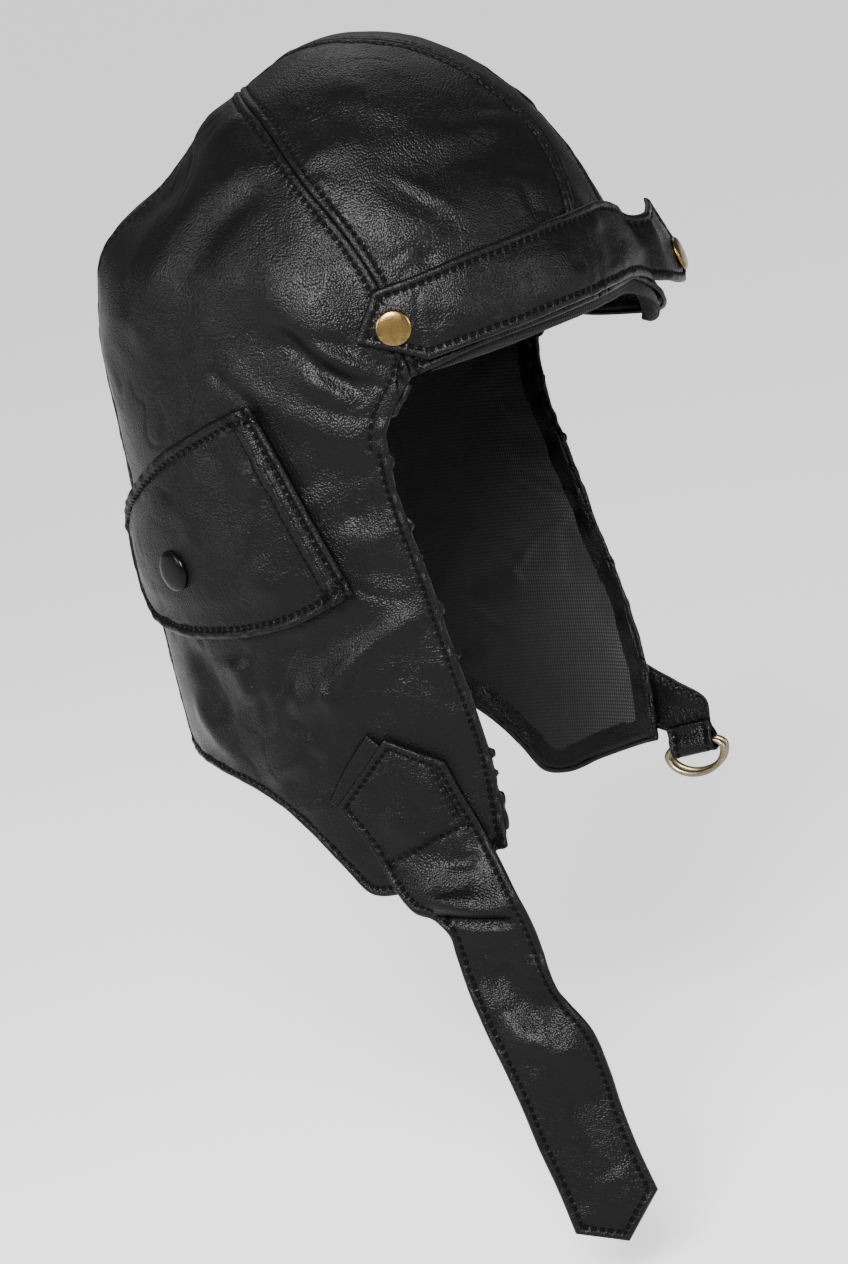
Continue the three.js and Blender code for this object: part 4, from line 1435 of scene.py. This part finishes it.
def ear_covers():
    sides = [Curve(c) for c in (COVER_FRONT, COVER_BOTTOM, COVER_BACK, COVER_TOP)]
    front, bottom, back, top = sides
    us, vs = (spacing(length, 1.0) for length in COVER_SIZE)
    half = patch(us, vs, bottom.at, back.at, lambda u: top.at(1 - u), lambda v: front.at(1 - v))
    u, v = (g.ravel() for g in np.meshgrid(us, vs))
    sewn = []
    for side in SIDES:
        q = on_form((half * side.flip).reshape(-1, 3))
        lines = [s.at(np.linspace(0, 1, max(int(s.length), 8))) * side.flip for s in sides]
        loop = [on_form(line) for line in lines]
        edge = Rim(loop[0], COVER_FRONT_ROWS, raised=0.7, puff=0.5, depth=0.5, roll=1.2)
        round_line = np.vstack([loop[1], loop[2][1:], loop[3][1:]])
        round_edge = Rim(round_line, (COVER_ROUND_ROW,), raised=1.0, puff=0.5, depth=0.7, roll=1.3)
        rims = [edge, round_edge]
        relief, sewing = rim_relief(q, rims)
        across = np.clip((edge.distance - BAND_START) / (COVER_BAND - BAND_START), 0, 1)
        band = BAND_HEIGHT * (1 - smooth(COVER_BAND + 0.1, COVER_BAND + 0.8, edge.distance))
        band = band + BAND_SWELL * np.sin(np.pi * across)
        height = cover_swell(u, v) + COVER_THICKNESS + relief + band + COVER_CRUMPLED * crumple(q)
        folds = COVER_FOLD_STRENGTH * bends(q * side.flip, COVER_BENDS)
        height = height + folds + np.maximum(hand_folds(q), 0)
        outward = form_normal(q)
        grid = swing(q + outward * (ridges(q, FOLDS) + height)[:, None]).reshape(half.shape)
        for rim in rims:
            rim.shown = swing(rim.line)
        name, node = "ear_cover_flap_" + side.name, "ear_cover_" + side.name
        leather = ["strap leather"]
        grid_piece(name, grid, outward, sewing, leather, node, COVER_WALL, taper=True)
        sewn.append((grid, outward, rims))
    stitches("ear_cover_stitches", sewn, wide=0.36, tall=0.34)


# Chin strap

CHIN_REAR = [
    [-74, 14, -167], [-74, 6, -181], [-75, -1, -198], [-79, -9.5, -207], [-79.5, -15.5, -209.5],
    [-78, -20.5, -215.5], [-77, -21.5, -224], [-78, -24, -236], [-79.5, -28.5, -251],
    [-80.5, -33.5, -265.5], [-81, -38, -280.5], [-81, -41.5, -295.5], [-81, -46, -311],
    [-81, -50, -328],
]
CHIN_FRONT = [
    [-71, -28, -154], [-69, -32, -168], [-68, -37, -182], [-70, -42, -193], [-74, -47, -202],
    [-74, -50, -210], [-72.5, -51.5, -218], [-72, -53, -227], [-72, -56, -240],
    [-71, -65.5, -255.5], [-70, -69, -270.5], [-69, -71, -286], [-69, -74.5, -301.5],
    [-69, -79, -316.5],
]
CHIN_SEWN_APEX = [-76, -9, -143]
CHIN_TIP_APEX = [-74, -67, -334]
CHIN_BENDS = table(
    BEND_COLUMNS,
    [
        [-75, -5, -194, -76, -23, -201, -76, -41, -205, 8, 1.4],
        [-79, -10, -203, -78, -30, -206, -76, -49, -208, 4, 1.9],
        [-80, -10, -208, -78, -30, -211, -75, -48, -214, 2.2, -2.2],
        [-73, -21, -191, -73, -28, -192, -72, -34, -192, 1.8, -0.6],
        [-72, -24, -188, -72, -29, -190, -71, -35, -188, 1.8, -0.5],
        [-78, -33, -226, -76, -42, -239, -75, -53, -252, 7, -2.0],
        [-79, -34, -250, -76, -48, -258, -73, -64, -265, 5, 1.5],
        [-73, -53, -225, -72, -54, -234, -73, -58, -244, 5, 1.0],
        [-75, -64, -306, -74, -70, -320, -74, -72, -324, 7, 0.8],
        [-78, -51, -278, -74, -62, -276, -70, -70, -277, 9, -0.7],
        [-78, -46, -263, -77, -52, -269, -74, -62, -273, 7, 0.7],
        [-77, -2, -169, -75, -11, -177, -72, -20, -186, 6, 0.9],
    ],
)
# Rows of stitches inside the sewn end, as places across and along the strap
CHIN_INNER_ROWS = [
    [(0.1, 0.127), (0.34, 0.131), (0.55, 0.133), (0.76, 0.129), (0.91, 0.123)],
    [(0.17, 0.012), (0.17, 0.04), (0.17, 0.08), (0.17, 0.115)],
]
BACKING_OUTER = [[-77, -3, -141], [-76.5, 7, -152], [-75, 16.5, -165]]
BACKING_INNER = [[-76, -8, -146.5], [-76, 2.5, -157.5], [-75, 10.5, -171]]
BACKING_LENGTH = 30
BACKING_LIFT = 2.3
BACKING_WALL = 1.8
CHIN_FOLD_STRENGTH = 1.5
CHIN_CALM = 0.35
CHIN_STRAP_SIZE = (33, 215)
CHIN_ROW = 3.1
FLAP_LOW = -203


def lay_on(p, least, low):
    """Keeps a sewn-on strap off the leather below it."""
    q = on_form(p)
    n = form_normal(q)
    lift = ((p - q) * n).sum(1) - ridges(q, FOLDS) - under_strap(q)
    held = smooth(low - 12, low, p[:, 2])
    wanted = least * held - 4 * (1 - held)
    return p + n * np.maximum(wanted - lift, 0)[:, None]


def on_strap(at, u, v, lay):
    """Points of a strap's outer face, and the directions out of it."""
    n = facing(at, u, v)
    p = lay(at(u, v))
    n = np.where((n[:, 0] * p[:, 0] < 0)[:, None], -n, n)
    return p + n * STRAP_THICKNESS / 2, n


def lay_right(p):
    """The chin strap's place on the right ear flap."""
    return lay_on(p, LAY_GAP + STRAP_THICKNESS / 2, FLAP_LOW)


def lay_left(p):
    """The ring strap's place on the left ear flap, before that flap is swung."""
    shift = np.array([0, FLAP_SWING, 0])
    return lay_on(p + shift, LAY_GAP + STRAP_THICKNESS / 2, FLAP_LOW) - shift


def chin_backing():
    """The layer below the sewn end, whose edge shows beside it."""
    outer, inner = Curve(BACKING_OUTER), Curve(BACKING_INNER)
    us, vs = np.linspace(0, 1, 15), spacing(BACKING_LENGTH, 0.9)
    a, b = outer.at(vs)[:, None], inner.at(vs)[:, None]
    flat = a + (b - a) * us[None, :, None]
    q = on_form(flat.reshape(-1, 3))
    relief, sewing = rim_relief(q, [Rim(border(q.reshape(flat.shape)), roll=0.8)])
    outward = form_normal(q)
    height = ridges(q, FOLDS) + hand_folds(q) + crumple(q) + relief + BACKING_LIFT
    grid = (q + outward * height[:, None]).reshape(flat.shape)
    name, leather = "chin_strap_backing", ["strap leather"]
    grid_piece(name, grid, outward, sewing, leather, "chin_strap", BACKING_WALL, taper=True)


def chin_strap():
    """The long strap, sewn on the right ear flap and hanging free, with the layer below it."""
    chin_backing()
    at = ribbon(CHIN_FRONT, CHIN_REAR, CHIN_SEWN_APEX, CHIN_TIP_APEX)
    u, v, shape = strap_grid(*CHIN_STRAP_SIZE)
    outer, n = on_strap(at, u, v, lay_right)
    calm = CHIN_CALM + CHIN_CALM * smooth(-285, -250, outer[:, 2])
    waves = calm * crumple(outer * 0.9) + CHIN_FOLD_STRENGTH * bends(outer, CHIN_BENDS)

    def row_on_strap(places):
        way = Curve([[a, b, 0] for a, b in places]).at(np.linspace(0, 1, 40))
        line, _ = on_strap(at, way[:, 0], way[:, 1], lay_right)
        return Rim(line, (0,), depth=0.3, edge=False)

    rows = [row_on_strap(places) for places in CHIN_INNER_ROWS]
    grid = outer.reshape(shape)
    piece, sewn = strap_piece("chin_strap_long", grid, n, waves, "chin_strap", CHIN_ROW, rows)
    stitches("chin_strap_stitches", [sewn])


# Ring strap, its folded end and the rings

RING_STRAP_FRONT = [
    [70, -43, -150], [69, -52, -161], [70, -64, -170], [71, -74, -178], [71, -74.5, -186.5],
]
RING_STRAP_REAR = [
    [74, -11, -161], [73, -24, -174], [72, -38, -182], [71, -48, -186], [71, -56.5, -189.6],
]
RING_SEWN_APEX = [76, -24, -140]
LOOP_SWELL = 0.9
LOOP_WALL = 1.6
LOOP_ROW = 2.6
LOOP_INSIDE = [[0, -5.0, 0]]
RING_ROW = 2.9
RING_STRAP_SIZE = (24, 62)
LOOP_AT = [71, -65.5, -188.4]
LOOP_DOWN = [0, -0.16, -0.98]
LOOP_SIDE = [
    [0.8, 1.2], [1.1, -2.0], [2.6, -4.3], [3.4, -7.0], [2.6, -9.0], [0.0, -9.9],
]


def loop_frame():
    up = -unit(np.array(LOOP_DOWN))
    thick = np.array([1.0, 0, 0])
    return np.stack([thick, up, np.cross(thick, up)], 1)


def place_in_loop(p):
    return p @ loop_frame().T + np.array(LOOP_AT)


def ring_strap():
    """The short strap on the left ear flap, and the fold of its end that holds the rings."""
    at = ribbon(RING_STRAP_FRONT, RING_STRAP_REAR, RING_SEWN_APEX)
    u, v, shape = strap_grid(*RING_STRAP_SIZE)
    outer, n = on_strap(at, u, v, lay_left)
    waves = 0.5 * crumple(outer)
    grid = outer.reshape(shape)
    _, sewn = strap_piece("ring_strap_short", grid, n, waves, "ring_strap", RING_ROW)
    turn = [[-x, y] for x, y in reversed(LOOP_SIDE[:-1])]
    line = Curve([[x, y, 0] for x, y in LOOP_SIDE + turn]).at(np.linspace(0, 1, 60))
    us = spacing(LOOP_WIDTH, 0.9)
    flat = np.repeat(line[:, None], len(us), axis=1)
    flat[..., 2] = (us - 0.5)[None] * LOOP_WIDTH
    points = place_in_loop(flat.reshape(-1, 3))
    grid = points.reshape(flat.shape)
    edges = [Rim(grid[:, k], (LOOP_ROW,), raised=0.2, depth=0.3, roll=0.7) for k in (0, -1)]
    out = grid_normals(grid, points - place_in_loop(np.array(LOOP_INSIDE)))
    relief, sewing = rim_relief(points, edges)
    shaped = (points + out * (relief + LOOP_SWELL)[:, None]).reshape(grid.shape)
    leather = ["strap leather"]
    grid_piece("ring_fold", shaped, out, sewing, leather, "ring_loop", LOOP_WALL, taper=True)
    stitches("ring_strap_stitches", [sewn, (shaped, out, edges)])


def ring_path(steps=96):
    """The middle line of a ring: a straight bar and a bow."""
    bar = RING_HALF_WIDTH - RING_CORNER
    bow = np.linspace(0, math.pi, 13)
    down = -(RING_CORNER + (RING_DEPTH - RING_CORNER) * np.sin(bow))
    points = [[0, 0, z] for z in np.linspace(-bar, bar, 5)]
    points += [[0, d, RING_HALF_WIDTH * math.cos(a)] for d, a in zip(down, bow)]
    return Curve(points, closed=True).at(np.linspace(0, 1, steps + 1)[:-1])


def rings():
    line = ring_path()
    ahead = unit(np.roll(line, -1, axis=0) - np.roll(line, 1, axis=0))
    side = np.array([1.0, 0, 0])
    inward = np.cross(ahead, side)
    turns = np.linspace(0, 2 * math.pi, 17)[None, :, None]
    tube = line[:, None] + RING_WIRE * (np.cos(turns) * side + np.sin(turns) * inward[:, None])
    tube = np.vstack([tube, tube[:1]])
    for name, offset, tilt in (("outer", RING_SPACING / 2, 5), ("inner", -RING_SPACING / 2, -3)):
        c, s = math.cos(math.radians(tilt)), math.sin(math.radians(tilt))
        tilted = tube @ np.array([[c, s, 0], [-s, c, 0], [0, 0, 1]])
        tilted = tilted + np.array([offset, -LOOP_HOLE_DOWN, 0])
        bm, _ = grid_mesh(place_in_loop(tilted.reshape(-1, 3)).reshape(tube.shape))
        bmesh.ops.remove_doubles(bm, verts=bm.verts[:], dist=0.01 * MM)
        bmesh.ops.recalc_face_normals(bm, faces=bm.faces[:])
        new_object("wire_ring_" + name, bm, ["ring bronze"], "bronze", "ring_" + name)


# Press studs

CAP_PROFILE = [
    (0.0, 1.0), (0.30, 0.99), (0.55, 0.955), (0.74, 0.88), (0.88, 0.76), (0.955, 0.60),
    (0.995, 0.40), (1.0, 0.22), (0.985, 0.06), (0.95, 0.0), (0.0, 0.0),
]
SOCKET_PROFILE = [
    (0, 0), (4.5, 0), (4.8, 0.25), (4.8, 0.8), (4.5, 1.0), (3.7, 1.1), (3.4, 1.5), (2.8, 1.6),
    (2.5, 1.4), (2.4, 0.7), (0, 0.7),
]
STUD_PROFILE = [
    (0, 0), (3.5, 0), (3.6, 0.2), (3.5, 0.55), (2.6, 0.8), (1.8, 0.95), (1.75, 1.5), (2.0, 1.9),
    (1.7, 2.2), (0, 2.25),
]
SNAP_AT = [-73, -38, 0]
STUD_AT = [73, -41.5, 0]
SNAP_FREE_AT = [0.5, 0.94]
STRAP_CAP_HEIGHT = 1.8
COVER_CAP_HEIGHT = 2.2
PLATE_RADIUS = 4.6
PLATE_HEIGHT = 0.9
TURN_STEPS = 56
# How far each stands off the face below it, and how deep the plate lies below the leather's face
CAP_RISE = 0.15
FREE_CAP_RISE = 0.1
SOCKET_RISE = 0.3
STUD_RISE = 0.3
PLATE_DEPTH = 2.4
COVER_CAP_RISE = 0.5


def turned(name, profile, at, direction, node, finish="antique brass", slot="brass"):
    """A round piece spun from its profile of radius and height, facing along a direction."""
    bm = bmesh.new()
    points = [bm.verts.new((r * MM, 0, h * MM)) for r, h in profile]
    edges = [bm.edges.new(pair) for pair in zip(points, points[1:])]
    bmesh.ops.spin(
        bm,
        geom=points + edges,
        cent=(0, 0, 0),
        axis=(0, 0, 1),
        angle=2 * math.pi,
        steps=TURN_STEPS,
        use_merge=True,
    )
    bmesh.ops.remove_doubles(bm, verts=bm.verts[:], dist=0.001 * MM)
    bmesh.ops.recalc_face_normals(bm, faces=bm.faces[:])
    turn = Vector((0, 0, 1)).rotation_difference(Vector(direction)).to_matrix().to_4x4()
    matrix = Matrix.Translation(Vector(at) * MM) @ turn
    bmesh.ops.transform(bm, matrix=matrix, verts=bm.verts[:])
    new_object(name, bm, [finish], slot, node)


def cap_profile(width, height):
    """The profile of a domed cap in millimetres, from its width in metres."""
    return [(r * width / 2 / MM, h * height) for r, h in CAP_PROFILE]


def press_studs():
    metal = settings()[1]
    cap = cap_profile(metal.cap_width, STRAP_CAP_HEIGHT)
    at = on_form(SNAP_AT)
    lifted = skin(at, LAY_GAP + STRAP_THICKNESS + CAP_RISE + under_strap(at))[0]
    turned("strap_cap_right", cap, lifted, form_normal(at)[0], "snap_cap_right")
    u, v = (np.array([k]) for k in SNAP_FREE_AT)
    outer = on_forehead_band(u, v, LAY_GAP + STRAP_THICKNESS + FREE_CAP_RISE)[0]
    inner = on_forehead_band(u, v, LAY_GAP - SOCKET_RISE)[0]
    out = unit(outer - inner)
    turned("strap_cap_left", cap, outer, out, "snap_cap_left")
    turned("strap_socket_left", SOCKET_PROFILE, inner, -out, "snap_socket_left")
    at = on_form(STUD_AT)
    out = form_normal(at)[0]
    turned("temple_stud_left", STUD_PROFILE, skin(at, STUD_RISE)[0], out, "snap_stud_left")
    plate = cap_profile(2 * PLATE_RADIUS * MM, PLATE_HEIGHT)
    turned("temple_plate_left", plate, skin(at, -PLATE_DEPTH)[0], -out, "stud_plate_left")
    black = cap_profile(metal.cover_cap_width, COVER_CAP_HEIGHT)
    rise = cover_swell(*(np.array([k]) for k in COVER_CAP_PLACE))[0]
    rise = rise + COVER_THICKNESS + COVER_CAP_RISE
    for side in SIDES:
        at = on_form(COVER_CAP_AT * side.flip)
        name, node = "cover_button_" + side.name, "cover_cap_" + side.name
        out = form_normal(at)[0]
        turned(name, black, skin(at, rise)[0], out, node, "black enamel", "black_cap")


# Stage

CAMERA_AT = (-1355.3, -603.4, 221.7)
CAMERA_UP = (0.276, -0.068, 0.959)
CAMERA_AHEAD = (0.889, 0.398, -0.228)
LENS = 119.2
SENSOR_WIDTH = 36
FLOOR_SIZE = 20
FLOOR_DARK = (0.37, 0.37, 0.37)
FLOOR_PALE = (0.4, 0.4, 0.4)
LIGHT_AWAY = 1.6
LIGHT_AIM = (0, 0, -0.08)
LIGHT_SPREAD = math.radians(100)
WORLD_STRENGTH = 0.2
FLOOR_GLOW = 1.15
# Azimuth and height in degrees, size in metres, and share of the main light's power
LIGHTS = [
    ("front softbox", -78, 29, (0.7, 0.6), 1.25),
    ("left softbox", -134, 16, (0.5, 0.7), 0.22),
    ("right softbox", -10, 9, (0.5, 0.6), 0.22),
    ("back softbox", 108, 45, (1.2, 0.8), 0.08),
]


def area_light(name, at, size, power):
    """A softbox that faces the hat."""
    light = bpy.data.lights.new(name, "AREA")
    light.shape = "RECTANGLE"
    light.size, light.size_y = size
    light.energy = power
    light.spread = LIGHT_SPREAD
    lamp = bpy.data.objects.new(name, light)
    lamp.location = at
    lamp.rotation_euler = (Vector(LIGHT_AIM) - at).to_track_quat("-Z", "Y").to_euler()
    bpy.context.scene.collection.objects.link(lamp)


def photo_camera(scene):
    """A camera with the photograph's view of the hat."""
    camera = bpy.data.cameras.new("photo camera")
    camera.lens = LENS
    camera.sensor_width = SENSOR_WIDTH
    camera.clip_start, camera.clip_end = 0.05, 50
    holder = bpy.data.objects.new("photo camera", camera)
    up, ahead = Vector(CAMERA_UP).normalized(), Vector(CAMERA_AHEAD).normalized()
    right = up.cross(-ahead).normalized()
    up = (-ahead).cross(right).normalized()
    basis = Matrix((right, up, -ahead)).transposed().to_4x4()
    basis.translation = Vector(CAMERA_AT) * MM
    holder.matrix_world = basis
    scene.collection.objects.link(holder)
    scene.camera = holder


def pale_floor(scene, height):
    """A wide floor that glows a little, so that it stays pale."""
    bm = bmesh.new()
    bmesh.ops.create_grid(bm, x_segments=24, y_segments=24, size=FLOOR_SIZE)
    bmesh.ops.translate(bm, vec=(0, 0, height), verts=bm.verts[:])
    mesh = bpy.data.meshes.new("floor")
    bm.to_mesh(mesh)
    bm.free()
    floor = bpy.data.objects.new("floor", mesh)
    scene.collection.objects.link(floor)
    material, tree, shader = new_material(
        "pale floor", Roughness=0.8, Emission_Color=(1, 1, 1, 1), Emission_Strength=FLOOR_GLOW
    )
    shade = cloud(tree, place_in_mm(tree), 0.002)
    put(tree, shader.inputs["Base Color"], blend_colours(tree, shade, FLOOR_DARK, FLOOR_PALE))
    mesh.materials.append(material)


def build_stage():
    stage = settings()[2]
    scene = bpy.context.scene
    photo_camera(scene)
    pale_floor(scene, stage.floor_height)
    world = bpy.data.worlds.new("studio")
    scene.world = world
    world.use_nodes = True
    sky = world.node_tree.nodes["Background"].inputs
    sky["Color"].default_value = (1, 1, 1, 1)
    sky["Strength"].default_value = WORLD_STRENGTH
    for name, azimuth, height, size, share in LIGHTS:
        turn, climb = math.radians(azimuth), math.radians(height)
        level = math.cos(climb)
        away = Vector((math.sin(turn) * level, -math.cos(turn) * level, math.sin(climb)))
        area_light(name, away * LIGHT_AWAY, size, stage.key_power * share)


# Operators and panel


class BuildOperator(bpy.types.Operator):
    """Builds one part of the hat"""

    bl_options = {"REGISTER", "UNDO"}
    build = None

    def execute(self, context):
        type(self).build()
        return {"FINISHED"}


class HAT_OT_stage(BuildOperator):
    """Adds the floor, the studio lights and the camera"""

    bl_idname = "hat.stage"
    bl_label = "Stage"
    build = staticmethod(build_stage)


class HAT_OT_panels(BuildOperator):
    """Builds the leather panels of the crown and the ear flaps with their seams"""

    bl_idname = "hat.panels"
    bl_label = "Crown and ear flaps"
    build = staticmethod(crown_panels)


class HAT_OT_lining(BuildOperator):
    """Builds the knit band below the forehead edge"""

    bl_idname = "hat.lining"
    bl_label = "Forehead lining"
    build = staticmethod(forehead_lining)


class HAT_OT_forehead_strap(BuildOperator):
    """Builds the forehead strap"""

    bl_idname = "hat.forehead_strap"
    bl_label = "Forehead strap"
    build = staticmethod(forehead_strap)


class HAT_OT_ear_covers(BuildOperator):
    """Builds the two ear covers"""

    bl_idname = "hat.ear_covers"
    bl_label = "Ear covers"
    build = staticmethod(ear_covers)


class HAT_OT_chin_strap(BuildOperator):
    """Builds the long chin strap"""

    bl_idname = "hat.chin_strap"
    bl_label = "Chin strap"
    build = staticmethod(chin_strap)


class HAT_OT_ring_strap(BuildOperator):
    """Builds the short strap and its folded end"""

    bl_idname = "hat.ring_strap"
    bl_label = "Ring strap"
    build = staticmethod(ring_strap)


class HAT_OT_rings(BuildOperator):
    """Builds the two wire rings"""

    bl_idname = "hat.rings"
    bl_label = "Rings"
    build = staticmethod(rings)


class HAT_OT_press_studs(BuildOperator):
    """Builds the caps, the socket and the stud"""

    bl_idname = "hat.press_studs"
    bl_label = "Press studs"
    build = staticmethod(press_studs)


OPERATORS = [
    HAT_OT_stage,
    HAT_OT_panels,
    HAT_OT_lining,
    HAT_OT_forehead_strap,
    HAT_OT_ear_covers,
    HAT_OT_chin_strap,
    HAT_OT_ring_strap,
    HAT_OT_rings,
    HAT_OT_press_studs,
]


class HAT_PT_build(bpy.types.Panel):
    """The steps and settings of the hat"""

    bl_label = "Aviator hat"
    bl_idname = "HAT_PT_build"
    bl_space_type = "VIEW_3D"
    bl_region_type = "UI"
    bl_category = "Hat"

    def draw(self, context):
        for step in OPERATORS:
            self.layout.operator(step.bl_idname)
        for group in (context.scene.hat_leather, context.scene.hat_metal, context.scene.hat_stage):
            box = self.layout.box()
            for name in group.__annotations__:
                box.prop(group, name)


GROUPS = {"hat_leather": HatLeather, "hat_metal": HatMetal, "hat_stage": HatStage}


def register():
    for group in GROUPS.values():
        bpy.utils.register_class(group)
    for name, group in GROUPS.items():
        setattr(bpy.types.Scene, name, bpy.props.PointerProperty(type=group))
    for step in OPERATORS:
        bpy.utils.register_class(step)
    bpy.utils.register_class(HAT_PT_build)


def unregister():
    bpy.utils.unregister_class(HAT_PT_build)
    for step in reversed(OPERATORS):
        bpy.utils.unregister_class(step)
    for name in GROUPS:
        delattr(bpy.types.Scene, name)
    for group in GROUPS.values():
        bpy.utils.unregister_class(group)


def main():
    register()
    for step in OPERATORS:
        group, name = step.bl_idname.split(".")
        getattr(getattr(bpy.ops, group), name)()


if __name__ == "__main__":
    main()
